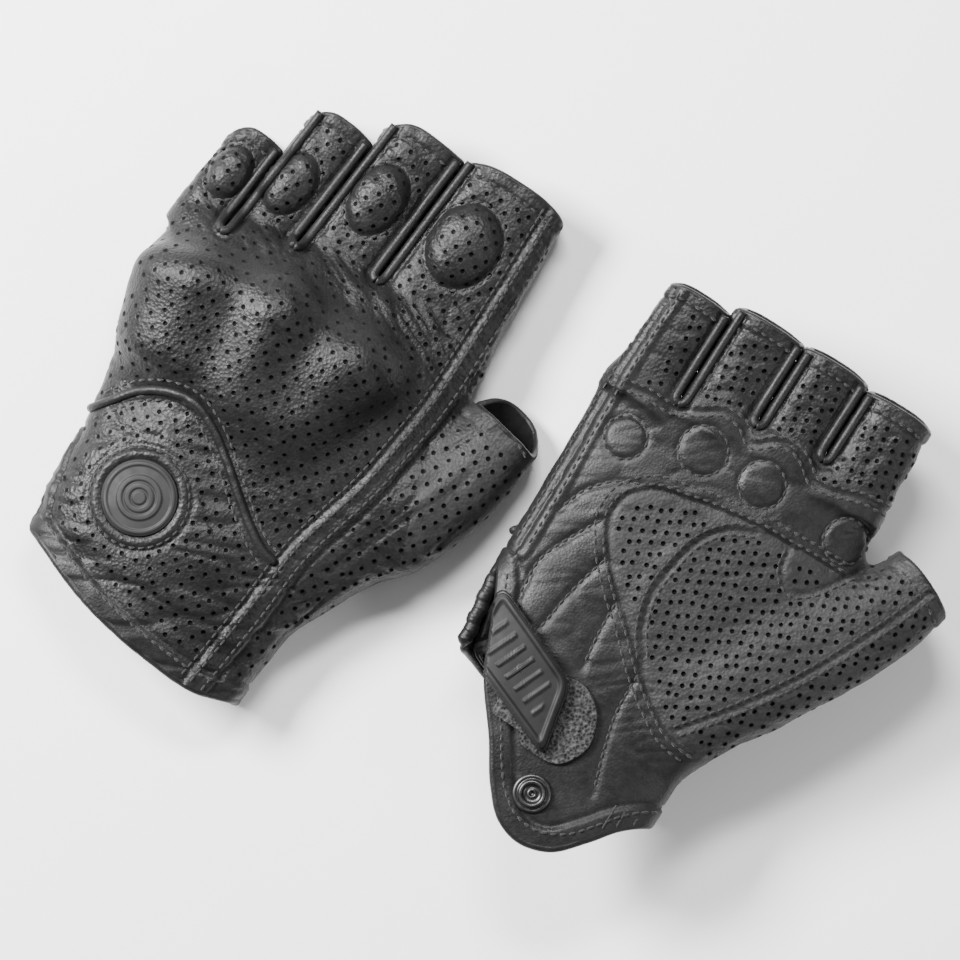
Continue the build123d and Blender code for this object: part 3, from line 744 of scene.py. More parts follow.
def perforate(V, Q, N, label, centres, radius):
    """Opens a small round hole at the vertex nearest to each centre. Returns the new mesh with a
    flag on the faces inside the holes."""
    faces = [[] for _ in range(len(V))]
    for f, quad in enumerate(Q.tolist()):
        for v in quad:
            faces[v].append(f)
    tree = kd_tree(V)
    used = np.zeros(len(V), bool)
    used[np.unique(border_vertices(Q))] = True
    dropped = []
    points, normals, quads, labels, dark = [], [], [], [], []
    base = len(V)
    V = V.copy()
    rows = Q.tolist()
    for centre in centres:
        ring = []
        for _, v, gap in tree.find_n(centre, 14):
            if gap > 1.7 or used[v] or len(faces[v]) != 4:
                continue
            step = {}
            for f in faces[v]:
                quad = rows[f]
                i = quad.index(v)
                step[quad[(i + 1) % 4]] = (quad[(i + 2) % 4], quad[(i + 3) % 4])
            ring, here = [], next(iter(step))
            while here in step and len(ring) < 8:
                ring += [here, step[here][0]]
                here = step[here][1]
            if len(ring) == 8 and len(set(ring)) == 8 and not used[ring].any():
                break
            ring = []
        if not ring:
            continue
        used[ring] = True
        used[v] = True
        C, n = V[v], N[v]
        spokes = V[ring] - C
        spokes -= np.outer(spokes @ n, n)
        reach = np.linalg.norm(spokes, axis=1, keepdims=True)
        spokes /= np.maximum(reach, 1e-6)
        # The leather round the hole is pushed out a little to make room for it.
        room = 0.35
        V[ring] += spokes * np.clip(1.12 * radius - reach, 0, room)
        size = min(radius, 0.92 * (float(reach.min()) + room))
        start = base + len(points)
        points += list(C + size * spokes + 0.12 * n)
        points += list(C + size * 0.88 * spokes - 0.12 * n)
        points += list(C + size * 0.80 * spokes - 0.95 * n)
        normals += [n] * 24
        for i in range(8):
            j = (i + 1) % 8
            quads += [(start + i, ring[i], ring[j], start + j),
                      (start + 8 + i, start + i, start + j, start + 8 + j),
                      (start + 16 + i, start + 8 + i, start + 8 + j, start + 16 + j)]
            labels += [label[faces[v][0]]] * 3
            dark += [0, 0, 1]
        for a, b, c, d in ((0, 1, 2, 3), (0, 3, 4, 7), (4, 5, 6, 7)):
            quads.append((start + 16 + a, start + 16 + b, start + 16 + c, start + 16 + d))
            labels.append(label[faces[v][0]])
            dark.append(1)
        dropped += faces[v]
    keep = np.ones(len(Q), bool)
    keep[dropped] = False
    flags = np.concatenate([np.zeros(keep.sum(), int), np.array(dark, int)])
    if not points:
        return V, Q, N, label, flags
    return (np.vstack([V, np.array(points)]), np.vstack([Q[keep], np.array(quads)]),
            np.vstack([N, np.array(normals)]), np.concatenate([label[keep], labels]), flags)


def ellipse(x, y, half_wide, half_long, count, closed=True):
    """Points round an ellipse in plan, ending on the first point when closed."""
    a = np.linspace(0, 2 * math.pi, count, endpoint=closed)
    return np.stack([x + half_wide * np.cos(a), y + half_long * np.sin(a)], 1)


def digit_plan(d, across, along):
    """Plan points from their distances across and along a digit."""
    t = math.radians(d["turn"])
    return np.stack([d["base"][0] + across * math.cos(t) + along * math.sin(t),
                     d["base"][1] - across * math.sin(t) + along * math.cos(t)], 1)


def hole_centres(V, N, allowed):
    """Staggered rows of perforations over the perforated panels, on the back and on the palm."""
    centres = []
    rng = np.random.default_rng(11)
    for side, pitch, turn in ((1, 5.4, 0.14), (-1, 4.7, -0.42)):
        spots = np.nonzero(N[:, 2] * side > 0.22)[0]
        tree = kd_tree(V[spots] * (1, 1, 0), spots)
        c, s = math.cos(turn), math.sin(turn)
        for row in range(-66, 67):
            for column in range(-40, 41):
                a = (column + 0.5 * (row % 2)) * pitch + rng.uniform(-0.2, 0.2)
                b = row * pitch * 0.6 + rng.uniform(-0.2, 0.2)
                x, y = a * c - b * s, a * s + b * c
                if abs(x) > 82 or y < -106 or y > 102:
                    continue
                _, i, far = tree.find((x, y, 0))
                if far < 0.8 and allowed[i]:
                    centres.append(V[i])
    return centres


def gap_to(V, spots):
    """Distance in space from each vertex to the nearest of some points."""
    tree = kd_tree(spots)
    return np.array([tree.find(co)[2] for co in V])


# ---------------------------------------------------------------------------------------------
# Placing things in the row's frame, in metres
# ---------------------------------------------------------------------------------------------

left_low, left_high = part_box("left_badge")
SHIFT = (500 * (left_low.x + left_high.x) + 20.0, 500 * (left_low.y + left_high.y) + 53.0)
LEFT_LIFT = -0.6
RIGHT_LIFT = 46.5
SPACING = (137.7, 33.0)
TURN = math.radians(4.0)


def to_row(P, g):
    """Points of a glove's layout, in metres in the row's frame."""
    P = np.asarray(P, float)
    if g["name"] == "left":
        out = P + (SHIFT[0], SHIFT[1], LEFT_LIFT)
    else:
        c, s = math.cos(TURN), math.sin(TURN)
        out = np.stack([P[..., 0] * c - P[..., 1] * s + SPACING[0] + SHIFT[0],
                        P[..., 0] * s + P[..., 1] * c + SPACING[1] + SHIFT[1],
                        RIGHT_LIFT - P[..., 2]], -1)
    return out * 0.001


def direction_to_row(D, g):
    D = np.asarray(D, float)
    if g["name"] == "left":
        return D
    c, s = math.cos(TURN), math.sin(TURN)
    return np.stack([D[..., 0] * c - D[..., 1] * s, D[..., 0] * s + D[..., 1] * c, -D[..., 2]], -1)


def add_mesh(name, V, faces, g, materials, index=None, normals=None):
    """A mesh object from layout points. The right glove's faces turn over with the mirror."""
    mesh = bpy.data.meshes.new(name)
    faces = [list(map(int, f)) for f in faces]
    if g["name"] == "right":
        faces = [f[::-1] for f in faces]
    mesh.from_pydata(to_row(V, g).tolist(), [], faces)
    for m in materials:
        mesh.materials.append(m)
    if index is not None:
        mesh.polygons.foreach_set("material_index", np.asarray(index, np.int32))
    mesh.polygons.foreach_set("use_smooth", [True] * len(mesh.polygons))
    mesh.update()
    if normals is not None:
        mesh.normals_split_custom_set_from_vertices(direction_to_row(normals, g).tolist())
    obj = bpy.data.objects.new(name, mesh)
    bpy.context.scene.collection.objects.link(obj)
    return obj


def sweep(line, normal, radius, sides=8, closed=False):
    """A tube along a line, with closed ends. The normal says which way is up."""
    line = np.asarray(line, float)
    n = len(line)
    ahead = np.roll(line, -1, 0) - np.roll(line, 1, 0)
    if not closed:
        ahead[0] = line[1] - line[0]
        ahead[-1] = line[-1] - line[-2]
    ahead /= np.maximum(np.linalg.norm(ahead, axis=1, keepdims=True), 1e-9)
    side = np.cross(ahead, normal)
    side /= np.maximum(np.linalg.norm(side, axis=1, keepdims=True), 1e-9)
    up = np.cross(side, ahead)
    radius = np.broadcast_to(np.asarray(radius, float), (n,))
    rings = []
    for k in range(sides):
        a = 2 * math.pi * k / sides
        rings.append(line + radius[:, None] * (math.cos(a) * side + math.sin(a) * up))
    V = np.stack(rings, 1).reshape(-1, 3)
    faces = []
    last = n if closed else n - 1
    for i in range(last):
        j = (i + 1) % n
        for k in range(sides):
            m = (k + 1) % sides
            faces.append((i * sides + k, j * sides + k, j * sides + m, i * sides + m))
    if not closed:
        faces.append(tuple(range(sides)))
        faces.append(tuple((n - 1) * sides + k for k in range(sides))[::-1])
    return V, faces


class Bag:
    """Collects small meshes into one."""

    def __init__(self):
        self.V, self.F, self.count = [], [], 0

    def add(self, V, faces):
        self.V.append(V)
        self.F += [tuple(i + self.count for i in f) for f in faces]
        self.count += len(V)

    def points(self):
        return np.vstack(self.V)


class Surface:
    """The finished skin, for laying things on it."""

    def __init__(self, V, Q):
        self.tree = BVHTree.FromPolygons(V.tolist(), Q.tolist())

    def drop(self, x, y, side):
        """The skin's point and outward normal under a plan point, from the back or the palm."""
        hit, normal, _, _ = self.tree.ray_cast(Vector((x, y, 90.0 * side)), Vector((0, 0, -side)))
        if hit is None:
            return None
        if normal.z * side < 0:
            normal = -normal
        return np.array(hit), np.array(normal)

    def lay(self, line, side, lift):
        """A plan line laid on the skin and lifted a little, with the normals along it."""
        spots = [s for s in (self.drop(x, y, side) for x, y in line) if s is not None]
        P = np.array([s[0] for s in spots])
        N = np.array([s[1] for s in spots])
        for _ in range(2):
            N[1:-1] = (N[:-2] + N[1:-1] + N[2:]) / 3
        N /= np.linalg.norm(N, axis=1, keepdims=True)
        return P + lift * N, N


def stitches(surface, line, side, shift=0.0, pitch=3.0, length=2.3, thick=0.42):
    """Separate raised stitches along a plan line, as (vertices, faces) pairs."""
    made = []
    pts = path(line, 0.5)
    ahead = np.gradient(pts, axis=0)
    ahead /= np.maximum(np.linalg.norm(ahead, axis=1, keepdims=True), 1e-9)
    pts = pts + shift * np.stack([ahead[:, 1], -ahead[:, 0]], 1)
    run = np.concatenate([[0], np.cumsum(np.linalg.norm(np.diff(pts, axis=0), axis=1))])
    for at in np.arange(pitch * 0.5, run[-1] - pitch * 0.3, pitch):
        spots = []
        for q in np.linspace(at - length / 2, at + length / 2, 5):
            xy = [np.interp(q, run, pts[:, k]) for k in (0, 1)]
            spot = surface.drop(xy[0], xy[1], side)
            if spot is None:
                break
            spots.append(spot)
        if len(spots) < 5 or abs(spots[2][1][2]) < 0.12:
            continue
        P = np.array([s[0] for s in spots])
        if np.linalg.norm(P[4] - P[0]) > 2.2 * length:
            continue
        N = np.array([spots[2][1]] * 5)
        sink = np.array([-0.30, 0.06, 0.16, 0.06, -0.30])
        size = thick * np.array([0.45, 0.9, 1.0, 0.9, 0.45])
        made.append(sweep(P + sink[:, None] * N, N, size, 6))
    return made


# ---------------------------------------------------------------------------------------------
# Materials
# ---------------------------------------------------------------------------------------------


class Shader:
    """A small helper for building one procedural material."""

    def __init__(self, name):
        self.material = bpy.data.materials.new(name)
        self.material.use_nodes = True
        self.tree = self.material.node_tree
        self.bsdf = self.tree.nodes["Principled BSDF"]
        self.coords = self.tree.nodes.new("ShaderNodeTexCoord").outputs["Object"]

    def link(self, a, b):
        self.tree.links.new(a, b)

    def noise(self, scale, detail=3.0, roughness=0.55):
        node = self.tree.nodes.new("ShaderNodeTexNoise")
        node.inputs["Scale"].default_value = scale
        node.inputs["Detail"].default_value = detail
        node.inputs["Roughness"].default_value = roughness
        self.link(self.coords, node.inputs["Vector"])
        return node.outputs["Fac"]

    def cells(self, scale, feature="F1"):
        node = self.tree.nodes.new("ShaderNodeTexVoronoi")
        node.feature = feature
        node.inputs["Scale"].default_value = scale
        self.link(self.coords, node.inputs["Vector"])
        return node.outputs["Distance"]

    def wave(self, scale, direction, distortion=0.0):
        node = self.tree.nodes.new("ShaderNodeTexWave")
        node.bands_direction = direction
        node.inputs["Scale"].default_value = scale
        node.inputs["Distortion"].default_value = distortion
        self.link(self.coords, node.inputs["Vector"])
        return node.outputs["Fac"]

    def math(self, operation, a, b):
        node = self.tree.nodes.new("ShaderNodeMath")
        node.operation = operation
        for socket, value in zip(node.inputs, (a, b)):
            if isinstance(value, (int, float)):
                socket.default_value = value
            else:
                self.link(value, socket)
        return node.outputs[0]

    def ramp(self, value, *stops):
        node = self.tree.nodes.new("ShaderNodeValToRGB")
        elements = node.color_ramp.elements
        while len(elements) < len(stops):
            elements.new(0.5)
        for element, (at, colour) in zip(elements, stops):
            element.position = at
            element.color = (*colour, 1) if len(colour) == 3 else (colour[0],) * 3 + (1,)
        self.link(value, node.inputs["Fac"])
        return node.outputs["Color"]

    def bump(self, height, strength, distance):
        node = self.tree.nodes.new("ShaderNodeBump")
        node.inputs["Strength"].default_value = strength
        node.inputs["Distance"].default_value = distance
        self.link(height, node.inputs["Height"])
        if self.bsdf.inputs["Normal"].is_linked:
            self.link(self.bsdf.inputs["Normal"].links[0].from_socket, node.inputs["Normal"])
        self.link(node.outputs["Normal"], self.bsdf.inputs["Normal"])

    def colour(self, socket):
        self.link(socket, self.bsdf.inputs["Base Color"])

    def roughness(self, socket):
        self.link(socket, self.bsdf.inputs["Roughness"])

    def set(self, **values):
        for name, value in values.items():
            self.bsdf.inputs[name.replace("_", " ")].default_value = value


def leather(name, dark, light, rough, grain=1.0, specular=0.3, relief=1.0):
    """Grained leather: pebbles about a millimetre across, fine pores and uneven dye."""
    s = Shader(name)
    patch = s.noise(38.0, 4.0, 0.6)
    fine = s.noise(420.0, 3.0, 0.6)
    mix = s.math("ADD", s.math("MULTIPLY", patch, 0.6), s.math("MULTIPLY", fine, 0.4))
    s.colour(s.ramp(mix, (0.34, dark), (0.66, light)))
    wear = s.math("ADD", s.math("MULTIPLY", s.noise(90.0, 4.0, 0.6), 0.6), s.math("MULTIPLY", fine, 0.4))
    s.roughness(s.ramp(wear, (0.32, (rough - 0.09,)), (0.68, (rough + 0.11,))))
    pebbles = s.cells(900.0 / grain, "F1")
    s.bump(pebbles, 0.50 * relief, 0.00032 * grain)
    s.bump(s.noise(2200.0, 3.0, 0.6), 0.30, 0.00014)
    s.bump(s.noise(300.0, 5.0, 0.65), 0.24 * relief, 0.00060)
    s.set(Specular_IOR_Level=specular, Sheen_Weight=0.02, Sheen_Roughness=0.5)
    return s.material


def woven(name, dark, light, pitch=700.0):
    s = Shader(name)
    warp = s.wave(pitch, "X", distortion=0.6)
    weft = s.wave(pitch, "Y", distortion=0.6)
    mesh = s.math("MAXIMUM", warp, weft)
    s.colour(s.ramp(s.math("MULTIPLY", mesh, s.noise(300.0)), (0.1, dark), (0.7, light)))
    s.bump(mesh, 0.5, 0.0003)
    s.set(Roughness=0.95, Sheen_Weight=0.02, Specular_IOR_Level=0.08)
    return s.material


def fuzzy(name, dark, light):
    s = Shader(name)
    loops = s.cells(900.0, "F1")
    s.colour(s.ramp(s.math("MULTIPLY", loops, s.noise(700.0)), (0.05, dark), (0.5, light)))
    s.bump(loops, 0.9, 0.0006)
    s.bump(s.noise(1900.0, 4.0), 0.6, 0.0003)
    s.set(Roughness=0.95, Sheen_Weight=0.06, Specular_IOR_Level=0.15)
    return s.material


def moulded(name, dark, light, rough):
    s = Shader(name)
    s.colour(s.ramp(s.noise(160.0, 4.0), (0.3, dark), (0.7, light)))
    s.roughness(s.ramp(s.noise(240.0, 4.0), (0.3, (rough - 0.06,)), (0.7, (rough + 0.1,))))
    s.bump(s.noise(1800.0, 3.0), 0.12, 0.0001)
    s.set(Specular_IOR_Level=0.22)
    return s.material


def metal(name, dark, light, rough):
    s = Shader(name)
    s.colour(s.ramp(s.noise(260.0, 5.0, 0.7), (0.3, dark), (0.7, light)))
    s.roughness(s.ramp(s.noise(500.0, 4.0), (0.3, (rough - 0.08,)), (0.7, (rough + 0.12,))))
    s.bump(s.noise(1300.0, 4.0), 0.10, 0.0001)
    s.set(Metallic=0.9)
    return s.material


def thread(name, dark, light):
    s = Shader(name)
    twist = s.wave(2400.0, "DIAGONAL")
    s.colour(s.ramp(s.math("MULTIPLY", twist, s.noise(500.0)), (0.05, dark), (0.6, light)))
    s.bump(twist, 0.5, 0.0002)
    s.set(Roughness=0.7, Sheen_Weight=0.15, Specular_IOR_Level=0.3)
    return s.material


def sponge(name, dark, light):
    s = Shader(name)
    cells = s.cells(1100.0, "DISTANCE_TO_EDGE")
    s.colour(s.ramp(cells, (0.0, light), (0.4, dark)))
    s.bump(cells, 0.7, 0.0005)
    s.set(Roughness=0.96, Specular_IOR_Level=0.15)
    return s.material


LOOK = dict(
    back=leather("back_leather", (0.0025,) * 3, (0.009,) * 3, 0.44, 1.0, 0.22, 1.0),
    perforated=leather("perforated_leather", (0.008,) * 3, (0.021,) * 3, 0.54, 1.0, 0.22, 1.0),
    palm=leather("palm_leather", (0.003,) * 3, (0.010,) * 3, 0.46, 0.8, 0.22, 0.6),
    trim=leather("trim_leather", (0.003,) * 3, (0.009,) * 3, 0.46, 0.75, 0.22, 0.6),
    hole=moulded("hole_shadow", (0.0015,) * 3, (0.004,) * 3, 0.9),
    cloth=woven("lining_cloth", (0.002,) * 3, (0.010,) * 3),
    thread=thread("stitching", (0.003,) * 3, (0.018,) * 3),
    rubber=moulded("moulded_rubber", (0.005,) * 3, (0.010,) * 3, 0.55),
    plastic=moulded("guard_plastic", (0.01,) * 3, (0.02,) * 3, 0.4),
    foam=sponge("foam", (0.02,) * 3, (0.07,) * 3),
    fuzz=fuzzy("hook_and_loop", (0.003,) * 3, (0.06,) * 3),
    metal=metal("snap_metal", (0.03,) * 3, (0.08,) * 3, 0.36),
)

# ---------------------------------------------------------------------------------------------
# The pieces of one glove
# ---------------------------------------------------------------------------------------------

BINDING, STALL, THUMB_SIDE, KNUCKLE_PAD = 7, 10, 20, 30
PANELS = {1: "back_panel", 2: "cuff_panel", 3: "side_strip", 4: "palm_panel", 5: "thumb_ball_panel",
          6: "finger_base_panel", BINDING: "wrist_binding"}
PANEL_LOOK = {1: "back", 2: "back", 3: "back", 4: "palm", 5: "perforated", 6: "palm", BINDING: "trim"}


def face_labels(P, g, wrist_gap):
    """The panel of every face: one of PANELS, or on a digit STALL, THUMB_SIDE or KNUCKLE_PAD plus
    the digit's place."""
    label = zones(P, g)
    label[wrist_gap < 6.3] = BINDING
    owner = digit_owner(P, g, 0.3)
    for k, d in enumerate(g["digits"].values()):
        u, v, w, _ = digit_frame(P, d)
        mine = owner == k
        label[mine] = STALL + k
        if d["pad"]:
            x, y, half_wide, half_long, _ = d["pad"]
            r = ((u - x) / half_wide) ** 2 + ((w - y) / half_long) ** 2
            label[mine & (r < 1.0) & (v > 0)] = KNUCKLE_PAD + k
        else:
            label[mine & (u > 0.42 * d["wide"][1])] = THUMB_SIDE + k
    return label


def perforated_at(V, g, owner, wrist_gap, tip_gap):
    """Where the leather is perforated."""
    back = V[:, 2] > PARTING
    ok = (wrist_gap > 8.6) & (tip_gap > 5.4)
    for (x0, y0), (x1, y1) in g["slits"]:
        s, _ = distance_to(V, np.array([(x0, y0), (x1, y1)], float))
        ok &= s > 5.2
    arch, _ = distance_to(V, path(g["arch"], 1.5))
    seam, side = distance_to(V, path(g["side_seam"], 1.5))
    ring = np.hypot(V[:, 0] - g["badge"][0], V[:, 1] - g["badge"][1])
    ok_back = (arch > 2.6) & (ring > 18.0) & ((seam > 9.6) | ((side > 0) & (seam > 1.6)))
    region = heel_region(palm_line("overlay", g))
    finger_y = np.interp(V[:, 0], *palm_line("finger_seam", g).T)
    ok_palm = inside(V, region) | (V[:, 1] > finger_y + 2.4) | (owner == THUMB)
    for name, room in (("overlay", 2.8), ("ball", 2.2), ("crotch", 2.0), ("thumb_side", 2.6)):
        s, _ = distance_to(V, palm_line(name, g))
        ok_palm &= s > room
    s, side = distance_to(V, palm_line("ulnar", g))
    ok_palm &= ~((side > 0) & (s < 9)) & (s > 2.0)
    return ok & np.where(back, ok_back, ok_palm)


def ring_patch(surface, outline, side, bottom, top, rise=None, rings=18, crown=0.9):
    """A slab with rounded edges that follows the skin beneath a closed plan outline. rise() adds
    height over its top, from plan points and their distance in from the edge."""
    outline = np.asarray(outline, float)
    centre = outline.mean(0)
    n = len(outline)
    levels = [(1.0, bottom)]
    for angle in (0, 30, 60, 90):
        a = math.radians(angle)
        shrink = crown * (1 - math.cos(a))
        levels.append((1 - shrink / 14.0, bottom + (top - bottom - crown) * 0.98 + crown * math.sin(a)))
    for k in range(1, rings):
        levels.append(((1 - crown / 14.0) * (1 - k / rings), top))
    V, F = [], []
    flat = []
    for share, height in levels:
        for xy in centre + share * (outline - centre):
            flat.append((xy[0], xy[1], height))
    flat.append((centre[0], centre[1], top))
    flat = np.array(flat)
    if rise is not None:
        inner = flat[:, 2] >= top - 1e-6
        gap, _ = distance_to(flat, np.vstack([outline, outline[:1]]))
        flat[inner, 2] += rise(flat[inner, :2], gap[inner])
    upright = np.array((0, 0, float(side)))
    for x, y, height in flat:
        spot = None
        for back_in in np.linspace(0, 0.6, 40):
            q = np.array((x, y)) + back_in * (centre - (x, y))
            spot = surface.drop(q[0], q[1], side)
            if spot is not None:
                break
        steer = 0.5 * spot[1] + 0.5 * upright
        V.append(spot[0] + steer / np.linalg.norm(steer) * height)
    turn = 1 if (np.cross(outline[1] - outline[0], outline[2] - outline[1]) > 0) == (side > 0) else -1
    for k in range(len(levels) - 1):
        for i in range(n):
            j = (i + 1) % n
            F.append((k * n + i, k * n + j, (k + 1) * n + j, (k + 1) * n + i))
    last_ring = (len(levels) - 1) * n
    for i in range(n):
        F.append((last_ring + i, last_ring + (i + 1) % n, len(flat) - 1))
    F.append(tuple(range(n))[::-1])
    if turn < 0:
        F = [f[::-1] for f in F]
    return np.array(V), F


def rounded(corners, radius, spacing=0.7):
    """A closed outline with round corners."""
    pts = np.asarray(corners, float)
    out = []
    n = len(pts)
    for i in range(n):
        a, b, c = pts[i - 1], pts[i], pts[(i + 1) % n]
        r = min(radius, 0.45 * np.linalg.norm(a - b), 0.45 * np.linalg.norm(c - b))
        p = b + r * (a - b) / np.linalg.norm(a - b)
        q = b + r * (c - b) / np.linalg.norm(c - b)
        for t in np.linspace(0, 1, 7):
            out.append((1 - t) ** 2 * p + 2 * t * (1 - t) * b + t * t * q)
    out = np.array(out)
    closed = np.vstack([out, out[:1]])
    run = np.concatenate([[0], np.cumsum(np.linalg.norm(np.diff(closed, axis=0), axis=1))])
    even = np.linspace(0, run[-1], int(run[-1] / spacing), endpoint=False)
    return np.stack([np.interp(even, run, closed[:, k]) for k in (0, 1)], 1)


def lathe(centre, profile, out, sides=72):
    """A turned part about the Z direction: (radius, height) pairs, height measured along out."""
    V, F = [], []
    for radius, height in profile:
        for k in range(sides):
            a = 2 * math.pi * k / sides
            V.append((centre[0] + radius * math.cos(a), centre[1] + radius * math.sin(a),
                      centre[2] + out * height))
    for i in range(len(profile) - 1):
        for k in range(sides):
            m = (k + 1) % sides
            f = (i * sides + k, i * sides + m, (i + 1) * sides + m, (i + 1) * sides + k)
            F.append(f if out > 0 else f[::-1])
    first = tuple(range(sides))[::-1]
    last = tuple((len(profile) - 1) * sides + k for k in range(sides))
    F += [first if out > 0 else first[::-1], last if out > 0 else last[::-1]]
    return np.array(V), F


def shell(V, N, Q, mask, outer, inner):
    """A closed layer between two depths under the faces of a mask."""
    q = Q[mask]
    used = np.unique(q)
    back = np.full(len(V), -1, np.int64)
    back[used] = np.arange(len(used))
    top = V[used] - N[used] * (outer if np.isscalar(outer) else outer[used][:, None])
    low = V[used] - N[used] * (inner if np.isscalar(inner) else inner[used][:, None])
    q = back[q]
    n = len(used)
    faces = [tuple(f) for f in q] + [tuple(n + i for i in f[::-1]) for f in q]
    edges = {}
    for f in q.tolist():
        for a, b in zip(f, f[1:] + f[:1]):
            edges[(a, b)] = 1
    for a, b in edges:
        if (b, a) not in edges:
            faces.append((b, a, n + a, n + b))
    return np.vstack([top, low]), faces


class Glove:
    """One glove's skin, and every piece that is made from it or laid on it."""

    def __init__(self, g):
        self.g = g
        self.side = g["name"]
        self.names = list(g["digits"])
        self.V, self.Q, self.owner = make_skin(g)
        self.N = vertex_normals(self.V, self.Q)
        self.rim = np.unique(border_vertices(self.Q))
        at_wrist = self.V[self.rim, 1] < WRIST_Y
        self.wrist_gap = gap_to(self.V, self.V[self.rim[at_wrist]])
        self.tip_gap = gap_to(self.V, self.V[self.rim[~at_wrist]])
        # The plain form, and the finished skin with its seams, pads and creases.
        relief = displacement(self.V, g, self.N, self.owner, self.wrist_gap)
        self.W = relax(self.V + relief[:, None] * self.N, self.Q, 1, fixed=self.rim, pull=0.12)
        self.plain = Surface(self.V, self.Q)
        self.skin = Surface(self.W, self.Q)
        self.centre = self.V[self.Q].mean(1)
        self.label = face_labels(self.centre, g, self.wrist_gap[self.Q].mean(1))

    def add(self, name, V, faces, looks, part, node=None, index=None, normals=None):
        """Adds a piece that rides on the hand or on the strap; a digit's piece is left unattached, with its
        placement baked into its mesh.
        """
        materials = [LOOK[look] for look in looks.split()]
        obj = add_mesh(f"{self.side}_{name}", V, faces, self.g, materials, index, normals)
        hand = f"{self.side}_hand"
        if part == "hand":
            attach(obj, hand)
        elif part == "strap":
            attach(obj, f"{self.side}_strap")
        else:
            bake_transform(obj)
        if node:
            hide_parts(f"{self.side}_{node}")
        return obj

    def panels(self):
        """The leather, panel by panel, with its perforations cut through."""
        allowed = perforated_at(self.V, self.g, self.owner, self.wrist_gap, self.tip_gap)
        tree = kd_tree(self.V)
        holes = [self.W[tree.find(c)[1]] for c in hole_centres(self.V, self.N, allowed)]
        normals = vertex_normals(self.W, self.Q)
        V, Q, N, label, dark = perforate(self.W, self.Q, normals, self.label, holes, HOLE_RADIUS)

        def piece(name, number, part, look, node):
            mask = label == number
            v, q, n = compact(V, Q[mask], N)
            return self.add(f"{name}_leather", v, q, f"{look} hole", part, node, dark[mask], n)

        for number, name in PANELS.items():
            piece(name, number, "hand", PANEL_LOOK[number], name)
        for k, name in enumerate(self.names):
            look = "perforated" if name == "thumb" else "back"
            piece(f"{name}_stall", STALL + k, name, look, f"{name}_stall")
            if name == "thumb":
                piece("thumb_side_panel", THUMB_SIDE + k, name, look, "thumb_side_panel")
            else:
                pad = piece(f"{name}_pad", KNUCKLE_PAD + k, name, look, f"{name}_pad")

    def layers(self):
        """The lining, the armour's shell and foam, and the palm's gel pads."""
        label, centre, V, N, Q = self.label, self.centre, self.V, self.N, self.Q
        on_hand = label < STALL
        armoured = (lobe_field(centre, self.g["lobes"]) < 0.8) & (label < BINDING)
        armoured &= centre[:, 2] > PARTING + 2
        spots = mapped([(x, y) for x, y, _ in PALM_LINES["pads"]], self.g["palm_map"])
        pad_gap = np.min([np.hypot(*(centre[:, :2] - spot).T) for spot in spots], axis=0)
        padded = (pad_gap < 6.6) & (centre[:, 2] < PARTING - 3) & on_hand
        # The lining lies deeper where the armour and the pads are sewn in, and eases back between.
        plain = 1.9
        deep = np.zeros(len(V))
        np.maximum.at(deep, Q[armoured].ravel(), 5.4)
        np.maximum.at(deep, Q[padded].ravel(), 3.6)
        depth = np.maximum(plain, deep)
        for _ in range(8):
            depth = np.maximum(neighbour_mean(depth, Q), deep)
        depth[self.rim] = plain
        self.inner = V - N * depth[:, None]
        for k, part in enumerate(["hand"] + self.names, -1):
            mask = on_hand if part == "hand" else ~on_hand & (label % 10 == k)
            v, q, n = compact(self.inner, Q[mask][:, ::-1], -N)
            node = "lining" if part == "hand" else None
            self.add(f"{part}_lining", v, q, "cloth", part, node, None, n)
        for name, mask, outer, inner, look in (
                ("knuckle_guard", armoured, 1.5, 2.9, "plastic"),
                ("knuckle_foam", armoured, 3.0, 5.2, "foam"),
                ("palm_pads", padded, 1.5, 3.4, "foam")):
            v, f = shell(V, N, Q, mask, outer, inner)
            self.add(f"{name}_layer", v, f, look, "hand", name)

    def edges(self):
        """Turned edges at the wrist and at every digit's opening."""
        for loop in border_loops(self.Q):
            line = (self.W[loop] + self.inner[loop]) / 2
            for _ in range(3):
                line = (np.roll(line, 1, 0) + 2 * line + np.roll(line, -1, 0)) / 4
            at_wrist = self.V[loop[0], 1] < WRIST_Y
            part = "hand" if at_wrist else self.names[max(self.owner[loop[0]], 0)]
            name = "wrist_roll" if at_wrist else f"{part}_turned_edge"
            tube, faces = sweep(line, self.N[loop], 1.45 if at_wrist else 1.0, 10, closed=True)
            self.add(name, tube, faces, "trim", part)

